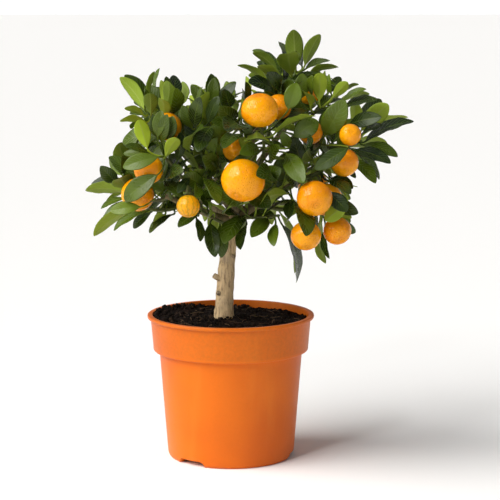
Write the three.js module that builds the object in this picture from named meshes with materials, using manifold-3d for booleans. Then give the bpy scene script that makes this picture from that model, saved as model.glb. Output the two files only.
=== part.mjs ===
// A calamondin, a small ornamental citrus, growing in a plastic nursery pot.
// Millimetres, +Z up. The pot, the soil, the wood, each fruit and each leafy shoot
// are separate closed solids.
import * as THREE from 'three';
import { mergeVertices } from 'three/addons/utils/BufferGeometryUtils.js';
import Module from 'manifold-3d';

const wasm = await Module();
wasm.setup();

// ---- driving sizes ----
const potLipRadius = 65;
const potHeight = 112;
const potFootRadius = 49.7;
const potWall = 1.5;
const potFloorHeight = 4.5;
const bandHeight = 26;
const bandStep = 3.2;
const bandDraft = 2;
const lipHeight = 2.7;
const lipOverhang = 2.5;
const bottomRound = 5;
const footWidth = 5.2;
const notchSpan = 28;
const notchAngles = [-39, 81, 201];
const drainHoleRadius = 4;
const soilBelowLip = 5.5;
const soilHeap = 5;
const trunkDiameter = 15;
const trunkClear = 76;
const trunkBurial = 16;
const crownWidth = 249;
const crownDepth = 170;
const crownHeight = 144;
const fruitScale = 1;
const leafBreadth = 0.42;
const leafThickness = 0.9;
const petioleRadius = 0.75;
const twigRadius = 1.5;
const stalkRadius = 0.9;
const calyxRadius = 2.7;
const seatGap = 0.3;
const bladeGap = 0.6;
const potSegments = 42;

// ---- finishes ----
const finish = (color, roughness) => new THREE.MeshStandardMaterial({ color, roughness, metalness: 0 });
const potPlastic = finish(0xf58033, 0.45);
const peat = finish(0x2a1a12, 0.95);
const bark = finish(0x9c8260, 0.8);
const leafGreen = finish(0x3c5f22, 0.4);
const ripeSkin = finish(0xf79a08, 0.35);
const unripeSkin = finish(0xc9b43a, 0.4);

// ---- the crown's own measure ----
// Places in the crown are written for a crown of these sizes and follow the driving sizes.
const drawn = { width: 249, depth: 170, height: 144, middle: 13, branching: 188, lip: 112 };
const shell = { x: 128, y: 85, z: 96, middleZ: 238, least: 0.08 };
const backShare = 0.97;

function place([x, y, z]) {
  const branching = potHeight + trunkClear;
  const rise = z > drawn.branching
    ? branching + ((z - drawn.branching) * crownHeight) / drawn.height
    : potHeight + ((z - drawn.lip) * trunkClear) / (drawn.branching - drawn.lip);
  const across = (x * crownWidth) / drawn.width;
  return new THREE.Vector3(across, (y * crownDepth) / drawn.depth, rise);
}

// Depth of the crown's rounded front at a place across and up.
function shellDepth(x, z) {
  const inside = 1 - ((x - drawn.middle) / shell.x) ** 2 - ((z - shell.middleZ) / shell.z) ** 2;
  return -shell.y * Math.sqrt(Math.max(shell.least, inside));
}

// ---- solids ----
function solidFrom(geometry) {
  const bare = geometry.index ? geometry.toNonIndexed() : geometry.clone();
  bare.deleteAttribute('normal');
  bare.deleteAttribute('uv');
  const welded = mergeVertices(bare, 1e-4);
  const vertProperties = new Float32Array(welded.attributes.position.array);
  const triVerts = new Uint32Array(welded.index.array);
  return new wasm.Manifold(new wasm.Mesh({ numProp: 3, vertProperties, triVerts }));
}

function geometryFrom(solid) {
  const mesh = solid.getMesh();
  const geometry = new THREE.BufferGeometry();
  const position = new THREE.BufferAttribute(new Float32Array(mesh.vertProperties), 3);
  geometry.setAttribute('position', position);
  geometry.setIndex(new THREE.BufferAttribute(new Uint32Array(mesh.triVerts), 1));
  geometry.computeVertexNormals();
  return geometry;
}

// A closed skin over a row of rings; a ring of one point is a tip.
function loft(rings) {
  const points = rings.flat();
  const starts = [];
  rings.reduce((sum, ring) => (starts.push(sum), sum + ring.length), 0);
  const faces = [];
  for (let i = 0; i + 1 < rings.length; i += 1) {
    const count = Math.max(rings[i].length, rings[i + 1].length);
    for (let k = 0; k < count; k += 1) {
      const next = (k + 1) % count;
      const at = (ring, step) => starts[ring] + (step % rings[ring].length);
      const near = [at(i, k), at(i, next), at(i + 1, k)];
      const far = [at(i, next), at(i + 1, next), at(i + 1, k)];
      faces.push(...[near, far].filter((face) => new Set(face).size === 3));
    }
  }
  const last = rings.length - 1;
  for (let k = 1; k + 1 < rings[0].length; k += 1) faces.push([0, k + 1, k]);
  for (let k = 1; k + 1 < rings[last].length; k += 1) {
    faces.push([starts[last], starts[last] + k, starts[last] + k + 1]);
  }
  const volume = faces.reduce((sum, [a, b, c]) => (
    sum + points[a].dot(new THREE.Vector3().crossVectors(points[b], points[c]))), 0);
  if (volume < 0) faces.forEach((face) => face.reverse());
  const vertProperties = new Float32Array(points.flatMap((p) => [p.x, p.y, p.z]));
  const triVerts = new Uint32Array(faces.flat());
  return new wasm.Manifold(new wasm.Mesh({ numProp: 3, vertProperties, triVerts }));
}

function curveThrough(points) {
  const Curve = points.length > 3 ? THREE.CubicBezierCurve3 : THREE.QuadraticBezierCurve3;
  return new Curve(...points);
}

// A tapering round stem along a curve, longer at both ends by reach.
function stem(points, startRadius, endRadius, sides, steps, reach = 0) {
  const curve = curveThrough(points);
  const chord = new THREE.Vector3().subVectors(points.at(-1), points[0]).normalize();
  const aside = Math.abs(chord.y) < 0.7 ? new THREE.Vector3(0, 1, 0) : new THREE.Vector3(1, 0, 0);
  const rings = [];
  for (let i = 0; i <= steps; i += 1) {
    const along = i / steps;
    const centre = curve.getPoint(along);
    const tangent = curve.getTangent(along);
    const across = new THREE.Vector3().crossVectors(tangent, aside).normalize();
    const up = new THREE.Vector3().crossVectors(across, tangent);
    const radius = startRadius + (endRadius - startRadius) * along;
    if (i === 0) centre.addScaledVector(tangent, -reach);
    if (i === steps) centre.addScaledVector(tangent, reach);
    rings.push(Array.from({ length: sides }, (_, k) => {
      const turn = (2 * Math.PI * k) / sides;
      return centre.clone()
        .addScaledVector(across, radius * Math.cos(turn))
        .addScaledVector(up, radius * Math.sin(turn));
    }));
  }
  return loft(rings);
}

function lathe(profile, segments) {
  const outline = profile.map(([radius, height]) => new THREE.Vector2(radius, height));
  return solidFrom(new THREE.LatheGeometry(outline, segments).rotateX(Math.PI / 2));
}

// ---- pot ----
const bandBottom = potHeight - bandHeight;
const bandTopRadius = potLipRadius - lipOverhang;
const bandBottomRadius = bandTopRadius - bandDraft;
const bodyTopRadius = bandBottomRadius - bandStep - potWall;
const bodyAt = (z) => (
  potFootRadius + ((bodyTopRadius - potFootRadius) * (z - bottomRound)) / (bandBottom - bottomRound));
const innerFloor = potFloorHeight + potWall;
const footFlat = potFootRadius - footWidth;

function potSolid() {
  const roundSteps = 3;
  const outer = [];
  for (let k = 0; k <= roundSteps; k += 1) {
    const turn = (Math.PI / 2) * (k / roundSteps);
    outer.push([potFootRadius - bottomRound / 2 + (bottomRound / 2) * Math.sin(turn),
      bottomRound - bottomRound * Math.cos(turn)]);
  }
  const profile = [
    ...outer,
    [bodyTopRadius, bandBottom - 2],
    [bandBottomRadius - 1.2, bandBottom - 2],
    [bandBottomRadius, bandBottom],
    [bandTopRadius, potHeight - lipHeight],
    [potLipRadius, potHeight - lipHeight + 0.4],
    [potLipRadius, potHeight - 0.5],
    [potLipRadius - 0.6, potHeight],
    [bandTopRadius - potWall, potHeight],
    [bandBottomRadius - potWall, bandBottom + potWall],
    [bodyTopRadius - potWall, bandBottom + potWall],
    [bodyAt(innerFloor) - potWall, innerFloor],
    [0, innerFloor],
    [0, potFloorHeight],
    [footFlat, potFloorHeight],
    [footFlat, 0],
    outer[0],
  ];
  let pot = lathe(profile, potSegments);
  const notchWidth = (potFootRadius * notchSpan * Math.PI) / 180;
  for (const angle of notchAngles) {
    const turn = (angle * Math.PI) / 180;
    const outline = new THREE.Shape([
      new THREE.Vector2(-notchWidth / 2 - 1, -1),
      new THREE.Vector2(notchWidth / 2 + 1, -1),
      new THREE.Vector2(notchWidth / 2 - 2, potFloorHeight - 0.3),
      new THREE.Vector2(-notchWidth / 2 + 2, potFloorHeight - 0.3),
    ]);
    const notch = new THREE.ExtrudeGeometry(outline, { depth: 2 * footWidth, bevelEnabled: false });
    notch.rotateX(Math.PI / 2);
    notch.translate(0, -(potFootRadius - 2 * footWidth), 0);
    notch.rotateZ(turn);
    const hole = new THREE.CylinderGeometry(drainHoleRadius, drainHoleRadius, 3 * potWall, 12);
    hole.rotateX(Math.PI / 2);
    hole.translate(0, -(footFlat - 2 * drainHoleRadius), potFloorHeight + potWall / 2);
    hole.rotateZ(turn);
    pot = pot.subtract(solidFrom(notch)).subtract(solidFrom(hole));
  }
  return pot;
}

// ---- wood ----
// Each limb: its points, then its radius where it starts and where it ends.
const trunkRadius = trunkDiameter / 2;
const limbs = [
  { points: [[-5, 0, drawn.lip - soilBelowLip - trunkBurial], [-6, 0, 136], [-2, 0, 160], [2, 0, 196]],
    radii: [trunkRadius, 5.4], sides: 10, steps: 7 },
  { points: [[-4, -2, 138], [-9, -3, 140], [-13, -4, 142.5]], radii: [2.6, 2.2], sides: 6, steps: 1 },
  { points: [[1, 0, 184], [-22, -20, 194], [-48, -36, 208]], radii: [3.6, 1.8], sides: 6, steps: 4 },
  { points: [[2, 0, 192], [-16, -12, 222], [-44, -22, 246]], radii: [3.6, 1.7], sides: 6, steps: 4 },
  { points: [[2, 0, 190], [8, -22, 200], [20, -42, 228]], radii: [3.4, 1.9], sides: 6, steps: 4 },
  { points: [[2, 0, 186], [26, -18, 200], [54, -34, 222]], radii: [3.6, 1.8], sides: 6, steps: 4 },
  { points: [[2, 0, 194], [30, -6, 226], [68, -14, 246]], radii: [3.8, 1.8], sides: 6, steps: 4 },
  { points: [[2, 0, 190], [4, 0, 236], [35, -4, 282]], radii: [4.6, 1.8], sides: 6, steps: 5 },
  { points: [[1, 0, 186], [-18, 22, 196], [-46, 38, 210]], radii: [3.4, 1.8], sides: 6, steps: 4 },
  { points: [[2, 0, 192], [-12, 20, 224], [-34, 34, 250]], radii: [3.4, 1.7], sides: 6, steps: 4 },
  { points: [[2, 0, 188], [26, 20, 200], [56, 38, 222]], radii: [3.6, 1.8], sides: 6, steps: 4 },
  { points: [[2, 0, 194], [20, 20, 230], [46, 34, 258]], radii: [3.4, 1.8], sides: 6, steps: 4 },
];

function woodSolid(extra) {
  return limbs
    .map(({ points, radii, sides, steps }) => (
      stem(points.map(place), radii[0] + extra, radii[1] + extra, sides, steps, extra)))
    .reduce((wood, limb) => wood.add(limb));
}

// ---- soil ----
// The peat lies lower on one side and is heaped against the lip on the other.
function soilHeight(x, y) {
  const out = Math.hypot(x, y) / bandTopRadius;
  const heap = soilHeap * Math.max(0, -x / bandTopRadius) * out;
  const collar = 3 * Math.exp(-((x + 5) ** 2 + y ** 2) / 180);
  const ripple = 0.8 * Math.sin(x / 6.5 + 1) * Math.cos(y / 7.5);
  return potHeight - soilBelowLip + heap + collar + ripple;
}

function soilSolid(grownWood) {
  const around = 24;
  const ring = (radius, height) => Array.from({ length: around }, (_, k) => {
    const turn = (2 * Math.PI * k) / around;
    const x = radius * Math.cos(turn);
    const y = radius * Math.sin(turn);
    return new THREE.Vector3(x, y, height === null ? soilHeight(x, y) : height);
  });
  const fit = (radius) => (radius - potWall - seatGap) * Math.cos(Math.PI / potSegments);
  const ledge = bandBottom + potWall + seatGap;
  const surfaceRadius = fit(bandTopRadius - (bandDraft * soilBelowLip) / bandHeight);
  const rings = [
    ring(fit(bodyAt(innerFloor)), innerFloor + seatGap),
    ring(fit(bodyTopRadius), ledge),
    ring(fit(bandBottomRadius), ledge),
    ring(surfaceRadius, null),
    ring(surfaceRadius * 0.78, null),
    ring(surfaceRadius * 0.5, null),
    ring(surfaceRadius * 0.22, null),
    [new THREE.Vector3(0, 0, soilHeight(0, 0))],
  ];
  return loft(rings).subtract(grownWood);
}

// ---- fruit ----
// place, diameter, height over diameter, direction of the stalk, unripe or not
const fruits = {
  fruit_front_top: [[22, -80, 275], 27, 0.9, [0.05, 0.3, -1]],
  fruit_front_large: [[10, -80, 224.3], 32, 0.94, [0.3, 0.6, 0.75]],
  fruit_right_front: [[62, -78, 211], 26, 0.94, [-0.1, 0.9, 0.35]],
  fruit_right_behind: [[71.5, -50, 207], 25, 0.94, [-0.2, 0.5, 0.8]],
  fruit_low_right_inner: [[56.2, -66, 182], 22.5, 0.94, [-0.1, 0.6, 0.75]],
  fruit_low_right_outer: [[79.7, -58, 184.5], 21, 0.94, [-0.3, 0.75, 0.55]],
  fruit_far_right_small: [[88.3, -65, 256.3], 16, 0.95, [0, 0.9, -0.4]],
  fruit_far_right: [[84.5, -60, 235.5], 21, 0.94, [-0.1, 0.8, 0.5]],
  fruit_unripe: [[-30, -76, 205], 17, 0.98, [-0.05, 0.35, 0.95], true],
  fruit_left_upper: [[-59.5, -64, 231], 22, 0.94, [0.5, 0.75, 0.2]],
  fruit_left_lower: [[-69, -45, 210], 25, 0.94, [0.5, 0.75, 0.4]],
  fruit_centre_inner: [[3.5, -40, 243.5], 18, 0.95, [0.5, 0.7, 0.4]],
  fruit_left_top: [[-46, -49, 261], 21, 0.94, [0.2, 0.95, 0.1]],
  fruit_top_inner: [[36, -54, 276], 19, 0.95, [0, 0.8, 0.5]],
  fruit_top_right: [[60, -16, 284], 17, 0.95, [-0.4, 0.6, -0.4]],
  fruit_right_inner: [[60, -48, 257], 18, 0.95, [-0.5, 0.8, 0.2]],
  fruit_back_left: [[-52, 58, 216], 24, 0.94, [0.3, -0.6, 0.7]],
  fruit_back_right: [[66, 60, 206], 25, 0.94, [-0.2, -0.6, 0.75]],
  fruit_back_centre: [[8, 74, 232], 26, 0.94, [0.1, -0.7, 0.7]],
};

function fruitFrame(name) {
  const [at, diameter, flatness, stalkway] = fruits[name];
  const centre = place(at);
  const toStalk = new THREE.Vector3(...stalkway).normalize();
  const radius = (diameter * fruitScale) / 2;
  return { centre, toStalk, radius, polar: radius * flatness };
}

function fruitSolid(name) {
  const { centre, toStalk, radius, polar } = fruitFrame(name);
  const steps = 6;
  const profile = Array.from({ length: steps + 1 }, (_, k) => {
    const turn = -Math.PI / 2 + (Math.PI * k) / steps;
    return new THREE.Vector2(radius * Math.max(0, Math.cos(turn)), polar * Math.sin(turn));
  });
  profile[0].x = 0;
  profile[steps].x = 0;
  const skin = new THREE.LatheGeometry(profile, 10);
  skin.applyQuaternion(new THREE.Quaternion().setFromUnitVectors(new THREE.Vector3(0, 1, 0), toStalk));
  skin.translate(centre.x, centre.y, centre.z);
  return solidFrom(skin);
}

// ---- shoots ----
// twig: where it leaves its limb, a point it bends by, its end.
// leaves: [tip across, tip height, base across, base height, breadth seen from the front,
// side that faces the front (upper or under), share of the crown's depth at the tip].
const upper = 1;
const under = -1;
const shoots = {
  left_top_outer: {
    twig: [[-41, -21, 244], [-52, -30, 256], [-61, -36, 270]],
    leaves: [
      [-83, 296.5, -64.5, 274, 11, under, 1],
      [-56, 301.5, -60, 283, 4, under, 0.8],
      [-62.5, 288.5, -63.5, 274, 4, upper, 0.6],
      [-58.5, 286, -58.5, 270, 11, under, 1],
      [-77.5, 275, -64, 269, 6, under, 1],
      [-81, 265.5, -63, 264, 6, under, 1],
    ],
  },
  left_top_inner: {
    twig: [[-34, -18, 240], [-42, -24, 250], [-47, -28, 266]],
    leaves: [
      [-45, 295, -48, 273, 11, under, 1],
      [-51, 295, -50, 276, 7, under, 0.7],
      [-39.5, 290, -42, 270, 9, upper, 1],
      [-49.5, 279, -50, 267, 10, under, 1.1],
      [-34, 266, -41, 254, 8, upper, 0.8],
    ],
    fruits: ['fruit_left_top'],
  },
  left_mid_upper: {
    twig: [[-20, -18, 193], [-30, -48, 218], [-48, -52, 239]],
    leaves: [
      [-66.5, 267, -61, 246, 12, under, 1],
      [-55.5, 271, -54, 254, 8.5, upper, 0.85],
      [-45, 271.5, -50, 250, 10, upper, 1],
      [-37.5, 254.5, -47, 240, 10, under, 1],
      [-36.5, 257.5, -39, 236, 8, upper, 0.85],
      [-76.5, 248, -60, 242, 5, upper, 1],
      [-79, 241, -64, 240, 5, upper, 0.8],
      [-76, 238.5, -55, 240, 5, under, 0.7],
    ],
    fruits: ['fruit_left_upper'],
  },
  left_mid_lower: {
    twig: [[-44, -33, 205], [-46, -44, 212], [-50, -44, 226]],
    leaves: [
      [-78, 228.5, -58, 224, 5.5, upper, 0.7],
      [-76, 206.5, -57, 222, 6.5, upper, 1.15],
      [-33, 231, -46, 225, 8, upper, 1],
      [-35, 211, -48, 220, 8, upper, 1],
    ],
  },
  far_left_upper: {
    twig: [[-46, -34, 207], [-62, -22, 198], [-80, -24, 214]],
    leaves: [
      [-96.5, 231.5, -86, 218, 11, upper, 1],
      [-80, 239.5, -80, 225, 6.5, upper, 0.9],
      [-82, 230, -77, 213, 17, under, 1.3],
      [-110, 211, -80, 210, 10, under, 1],
      [-98.5, 197, -79, 205, 4, upper, 1],
    ],
    fruits: ['fruit_left_lower'],
  },
  far_left_lower: {
    twig: [[-36, -28, 200], [-50, -30, 194], [-63, -30, 198]],
    leaves: [
      [-104, 176, -70, 198, 10.5, under, 1],
      [-88, 181.5, -62, 196, 5, upper, 1.1],
      [-60, 181.5, -43, 194, 5, upper, 1],
      [-57.5, 188, -50, 194, 4, under, 1],
      [-74, 182, -60, 195, 7, upper, 0.6],
    ],
  },
  centre_left_upper: {
    twig: [[-15, -10, 219], [-22, -34, 240], [-25, -46, 259]],
    leaves: [
      [-21, 284, -25.5, 262, 11, upper, 1],
      [-34.5, 277.5, -28, 260, 9, upper, 1],
      [-15.3, 287.5, -22, 264, 8, under, 0.85],
      [-20, 290.5, -23.5, 273, 3, upper, 0.7],
      [-23, 245, -14, 261, 12, upper, 1],
      [-19, 262.3, -30, 244, 4.5, under, 1.05],
      [-8, 284, -16, 264, 9, upper, 0.75],
    ],
  },
  centre_top: {
    twig: [[6, 0, 232], [12, -22, 248], [6, -42, 264]],
    leaves: [
      [-4.2, 290, 0, 275, 10.5, upper, 1],
      [-7.5, 277.5, 4, 266, 13, upper, 1],
      [9, 284, 7, 268, 5, under, 0.9],
      [11.7, 294.5, 12, 278, 5, upper, 0.8],
      [-13, 266, 1, 262, 8, upper, 1],
      [-2.5, 259, 8, 260, 6, upper, 0.95],
      [-4, 247, 8, 255, 8, upper, 0.9],
      [16, 256, 10, 262, 8, upper, 0.8],
    ],
    fruits: ['fruit_centre_inner'],
  },
  front_centre: {
    twig: [[19, -40, 225], [28, -52, 240], [24, -62, 257]],
    leaves: [
      [20, 256.5, 20, 258.5, 19, under, 1.2],
      [7.5, 244, 21, 247, 10, upper, 1],
      [62.8, 270.5, 33, 257, 5.5, under, 1],
      [59, 272, 34, 262, 6, upper, 0.75],
      [36.8, 249.5, 30, 236, 7, upper, 1],
      [19.5, 229.5, 32, 224, 9, upper, 1.18],
      [54, 223, 42, 242, 15, upper, 1.08],
      [38, 258.5, 44, 247, 8, upper, 0.85],
    ],
    fruits: ['fruit_front_top', 'fruit_front_large'],
  },
  top_centre: {
    twig: [[33, -3, 278], [42, 0, 286], [50, 0, 299]],
    leaves: [
      [48, 332, 50, 304, 14, under, 0.3],
      [53, 321, 55, 304, 8, upper, -0.6],
      [68.3, 328.5, 57, 305, 10, under, 0.1],
      [42.7, 315, 46.4, 298, 18, under, 1],
      [77, 308, 58, 302, 5, upper, -0.5],
      [81.7, 304, 60, 298, 6, under, 0.5],
      [38, 322, 46, 299, 9, upper, -0.9],
    ],
    fruits: ['fruit_top_right'],
  },
  top_left: {
    twig: [[24, -2, 262], [32, -26, 280], [38, -32, 292]],
    leaves: [
      [17, 315.5, 35, 303, 7, under, 0.8],
      [21.3, 306.3, 37, 293, 9, under, 1],
      [27, 301, 37, 288, 9, upper, 0.7],
      [13.7, 294.5, 33, 286, 8.5, upper, 1],
      [47.8, 295, 39, 284, 7, upper, 1],
      [53, 294.5, 43, 281, 6, under, 1],
      [50, 272, 36, 276, 8, upper, 0.5],
    ],
    fruits: ['fruit_top_inner'],
  },
  upper_right: {
    twig: [[48, -8, 240], [54, -22, 264], [68, -34, 274]],
    leaves: [
      [66.7, 301, 66.5, 280, 11.5, under, 1],
      [74, 299.5, 76, 284, 4, upper, 0.7],
      [61, 299, 61, 284, 5, upper, 0.8],
      [87, 294, 76.5, 282, 8.5, under, 1],
      [53, 288, 60, 276, 5, under, 0.9],
      [101.2, 288.5, 84, 279, 4, upper, 1],
      [109.8, 280.8, 84, 274, 6, upper, 1],
    ],
    fruits: ['fruit_right_inner'],
  },
  hero_right: {
    twig: [[56, -10, 240], [62, -36, 238], [68, -42, 247]],
    leaves: [
      [84, 282, 70.5, 255, 18, upper, 1.1],
      [72, 279, 67, 258, 7, upper, 0.8],
      [82.5, 247, 74, 240, 9, upper, 0.6],
      [60.4, 250, 61, 236, 6, under, 1.05],
      [75, 225.5, 60, 234, 10, under, 1.1],
      [49, 262, 61, 243, 8, upper, 0.6],
    ],
  },
  right_upper: {
    twig: [[66, -13, 245], [82, -22, 240], [98, -24, 248]],
    leaves: [
      [112.5, 268, 90, 262, 11, upper, 1],
      [118.3, 277, 99, 257, 15, under, 1],
      [138.7, 263.5, 102, 248, 7, upper, 1],
      [114.5, 261.5, 99, 254, 4, upper, 0.7],
      [125.3, 238, 100, 246, 8, upper, 1],
    ],
    fruits: ['fruit_far_right_small'],
  },
  right_lower: {
    twig: [[53, -33, 221], [70, -30, 224], [87, -30, 240]],
    leaves: [
      [119.3, 234, 91, 242, 8.5, upper, 1],
      [108, 219.5, 91, 236, 9, upper, 1],
      [66, 238, 80, 236, 6, upper, 0.7],
      [93, 223.3, 78, 230, 4, upper, 1.1],
      [91, 216, 76, 222, 9, upper, 0.9],
    ],
    fruits: ['fruit_far_right'],
  },
  front_right: {
    twig: [[24, -16, 201], [44, -44, 216], [68, -46, 227]],
    leaves: [
      [22, 206, 42, 211, 9, under, 0.95],
      [55, 185, 48, 206, 12, upper, 1.4],
      [44, 194, 46, 206, 8, upper, 1],
      [88, 214, 72, 222, 7, upper, 1.2],
      [40, 226, 50, 218, 8, upper, 0.9],
    ],
    fruits: ['fruit_right_front', 'fruit_right_behind'],
  },
  lower_right: {
    twig: [[24, -15, 198], [46, -22, 194], [68, -30, 198]],
    leaves: [
      [73, 155, 68, 188, 7.5, under, 1],
      [75.5, 159, 72, 182, 5, upper, 0.6],
      [96, 196, 76, 205, 11, upper, 1],
      [92, 191, 74, 197, 8, under, 0.6],
      [95, 180, 80, 188, 9, upper, 0.8],
    ],
    fruits: ['fruit_low_right_inner', 'fruit_low_right_outer'],
  },
  lower_centre: {
    twig: [[2, -3, 188], [18, -28, 190], [36, -42, 194]],
    leaves: [
      [50.3, 140, 39.5, 186, 7.5, upper, 1],
      [33, 174, 34, 188, 8, upper, 1.05],
      [16, 181, 28, 192, 11, upper, 1],
      [-4, 199.5, 17, 204, 9, under, 0.95],
      [-4, 175, 10, 192, 12, upper, 0.95],
      [8, 168, 12, 184, 7, upper, 0.7],
    ],
  },
  lower_left: {
    twig: [[0, -3, 181], [-10, -26, 188], [-22, -44, 198]],
    leaves: [
      [-22, 177, -25, 193, 6, upper, 1],
      [-38, 188, -25, 196, 7, upper, 1],
      [-11, 164, -15, 187, 12, upper, 1],
      [-7, 160, -8, 184, 9.5, upper, 0.6],
      [-40, 204, -26, 200, 7, upper, 0.75],
    ],
  },
  centre_mid: {
    twig: [[-6, -6, 207], [-18, -48, 224], [-31, -56, 224]],
    leaves: [
      [-25, 212, -24, 220, 7, upper, 1],
      [-8, 207, -18, 223, 9, upper, 1],
      [-13, 237, -16, 222, 7, upper, 0.85],
      [3, 208, -9, 218, 8, upper, 0.85],
      [-9, 254, -14, 238, 7, upper, 0.8],
      [-38, 214, -30, 224, 7, upper, 0.85],
    ],
    fruits: ['fruit_unripe'],
  },
  centre_inner_left: {
    twig: [[-8, -7, 214], [-14, -12, 244], [-14, -10, 268]],
    leaves: [
      [-12, 296, -14, 273, 10, upper, 0.2],
      [-30, 290, -18, 270, 9, upper, 0.1],
      [4, 292, -10, 272, 9, upper, 0.15],
      [-40, 268, -18, 258, 8, upper, 0.1],
      [-36, 250, -16, 246, 8, upper, 0.1],
      [-30, 232, -13, 236, 8, upper, 0.1],
    ],
  },
};
// Shoots at the back follow those at the front, on the limbs behind the trunk.
const backShoots = {
  back_left_top: { like: 'left_top_outer', from: [-33, 33, 248] },
  back_left_upper: { like: 'left_top_inner', from: [-28, 29, 242] },
  back_left_middle: { like: 'left_mid_upper', from: [-30, 28, 202], fruits: ['fruit_back_left'] },
  back_far_left: { like: 'far_left_upper', from: [-44, 36, 208] },
  back_left_low: { like: 'far_left_lower', from: [-36, 31, 204] },
  back_centre_left: { like: 'centre_left_upper', from: [-14, 18, 224] },
  back_centre_top: { like: 'centre_top', from: [19, 18, 226] },
  back_centre: { like: 'centre_mid', from: [-5, 11, 209], fruits: ['fruit_back_centre'] },
  back_inner_left: { like: 'centre_inner_left', from: [-5, 8, 213] },
  back_top_left: { like: 'top_left', from: [27, 23, 240] },
  back_upper_right: { like: 'upper_right', from: [42, 32, 253] },
  back_right_upper: { like: 'right_upper', from: [51, 36, 218] },
  back_right_lower: { like: 'right_lower', from: [48, 32, 216], fruits: ['fruit_back_right'] },
  back_right_low: { like: 'lower_right', from: [24, 16, 198] },
  back_low_centre: { like: 'lower_centre', from: [2, 3, 189] },
  back_low_left: { like: 'lower_left', from: [0, 3, 183] },
};
for (const [name, { like, from, fruits: borne }] of Object.entries(backShoots)) {
  const [, bend, end] = shoots[like].twig;
  shoots[name] = {
    twig: [from, [bend[0], -bend[1], bend[2]], [end[0], -end[1], end[2]]],
    leaves: shoots[like].leaves,
    fruits: borne,
    back: -1,
  };
}

// A leaf that would touch another is leant aside by the first of these steps that clears it.
const leansDeep = [0, -4, 4, -8, 8, -12, 12, -17, 17, -23, 23];
const leansUp = [0, 3, -3, 7, -7];
const stations = [[0.3, 0.93], [0.7, 0.9]];
const archShare = 0.1;
const foldShare = 0.16;
const inwardShare = 0.2;
const baseShare = 0.3;

function nearest(points, across, height) {
  const curve = curveThrough(points.map((p) => new THREE.Vector3(...p)));
  let best = null;
  for (let k = 3; k <= 12; k += 1) {
    const point = curve.getPoint(k / 12);
    const away = Math.hypot(point.x - across, point.z - height);
    if (!best || away < best.away) best = { point, away };
  }
  return best.point;
}

function leafSolid(leaf, shoot, leanDeep, leanUp) {
  const [tipAcross, tipHeight, baseAcross, baseHeight, seen, side, share] = leaf;
  const back = shoot.back ?? 1;
  const joint = nearest(shoot.twig, baseAcross, baseHeight);
  const reach = back < 0 ? share * backShare : share;
  const tipDepth = back * (shellDepth(tipAcross, tipHeight) * reach + leanDeep);
  const baseDepth = joint.y + (tipDepth - joint.y) * baseShare;
  const tip = place([tipAcross, tipDepth, tipHeight + leanUp]);
  const base = place([baseAcross, baseDepth, baseHeight]);
  const root = place(joint.toArray());
  const along = new THREE.Vector3().subVectors(tip, base);
  const length = along.length();
  along.normalize();
  const breadth = Math.max(seen, leafBreadth * length);
  const facing = new THREE.Vector3(0, -back, 0);
  const flat = facing.clone().addScaledVector(along, -facing.dot(along)).normalize();
  const aside = new THREE.Vector3().crossVectors(along, flat);
  const turned = Math.acos(Math.min(1, seen / breadth));
  const lean = aside.z * back + inwardShare * Math.sign(drawn.middle - tipAcross) * aside.x * back;
  const skyward = lean < 0 ? -back : back;
  const face = flat.multiplyScalar(side * Math.cos(turned))
    .addScaledVector(aside, skyward * Math.sin(turned))
    .normalize();
  const span = new THREE.Vector3().crossVectors(along, face);
  const ring = (centre, half, lift, thick) => [
    centre.clone().addScaledVector(span, half).addScaledVector(face, lift),
    centre.clone().addScaledVector(face, thick),
    centre.clone().addScaledVector(span, -half).addScaledVector(face, lift),
    centre.clone().addScaledVector(face, -thick),
  ];
  const blade = stations.map(([at, width]) => ring(
    base.clone().addScaledVector(along, length * at)
      .addScaledVector(face, archShare * length * 4 * at * (1 - at)),
    (breadth / 2) * width, foldShare * (breadth / 2) * width, leafThickness / 2,
  ));
  const stalk = (centre) => [-30, 90, 210].map((degrees) => {
    const turn = THREE.MathUtils.degToRad(degrees);
    return centre.clone()
      .addScaledVector(span, petioleRadius * Math.cos(turn))
      .addScaledVector(face, petioleRadius * Math.sin(turn));
  });
  return {
    blade: loft([stalk(base), ...blade, [tip]]),
    whole: loft([stalk(root), stalk(base), ...blade, [tip]]),
  };
}

// Twig with the fruit stalks and calyxes that it bears.
function twigSolid(shoot) {
  let twig = stem(shoot.twig.map(place), twigRadius, twigRadius * 0.7, 5, 3);
  for (const name of shoot.fruits ?? []) {
    const { centre, toStalk, polar } = fruitFrame(name);
    const seat = centre.clone().addScaledVector(toStalk, polar + seatGap);
    const cap = seat.clone().addScaledVector(toStalk, 1.2);
    const start = seat.clone().addScaledVector(toStalk, 0.5);
    const bend = seat.clone().addScaledVector(toStalk, 5);
    const curve = curveThrough(shoot.twig.map(place));
    const ends = Array.from({ length: 10 }, (_, k) => curve.getPoint((k + 3) / 12));
    ends.sort((a, b) => a.distanceTo(bend) - b.distanceTo(bend));
    twig = twig
      .add(stem([seat, seat.clone().lerp(cap, 0.5), cap], calyxRadius, stalkRadius * 1.4, 5, 1))
      .add(stem([start, bend, ends[0]], stalkRadius, stalkRadius, 4, 3));
  }
  return twig;
}

function largest(solid) {
  return solid.decompose().sort((a, b) => b.volume() - a.volume())[0];
}

function apart(solid, others) {
  const box = solid.boundingBox();
  return others.every(({ solid: other, box: near }) => {
    const clear = [0, 1, 2].some((k) => (
      box.min[k] > near.max[k] + bladeGap || near.min[k] > box.max[k] + bladeGap));
    return clear || solid.minGap(other, bladeGap) >= bladeGap;
  });
}

const boxed = (solid) => ({ solid, box: solid.boundingBox() });

// ---- assembly ----
const group = new THREE.Group();

function piece(name, solid, material) {
  const mesh = new THREE.Mesh(geometryFrom(solid), material);
  mesh.name = name;
  group.add(mesh);
}

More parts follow.
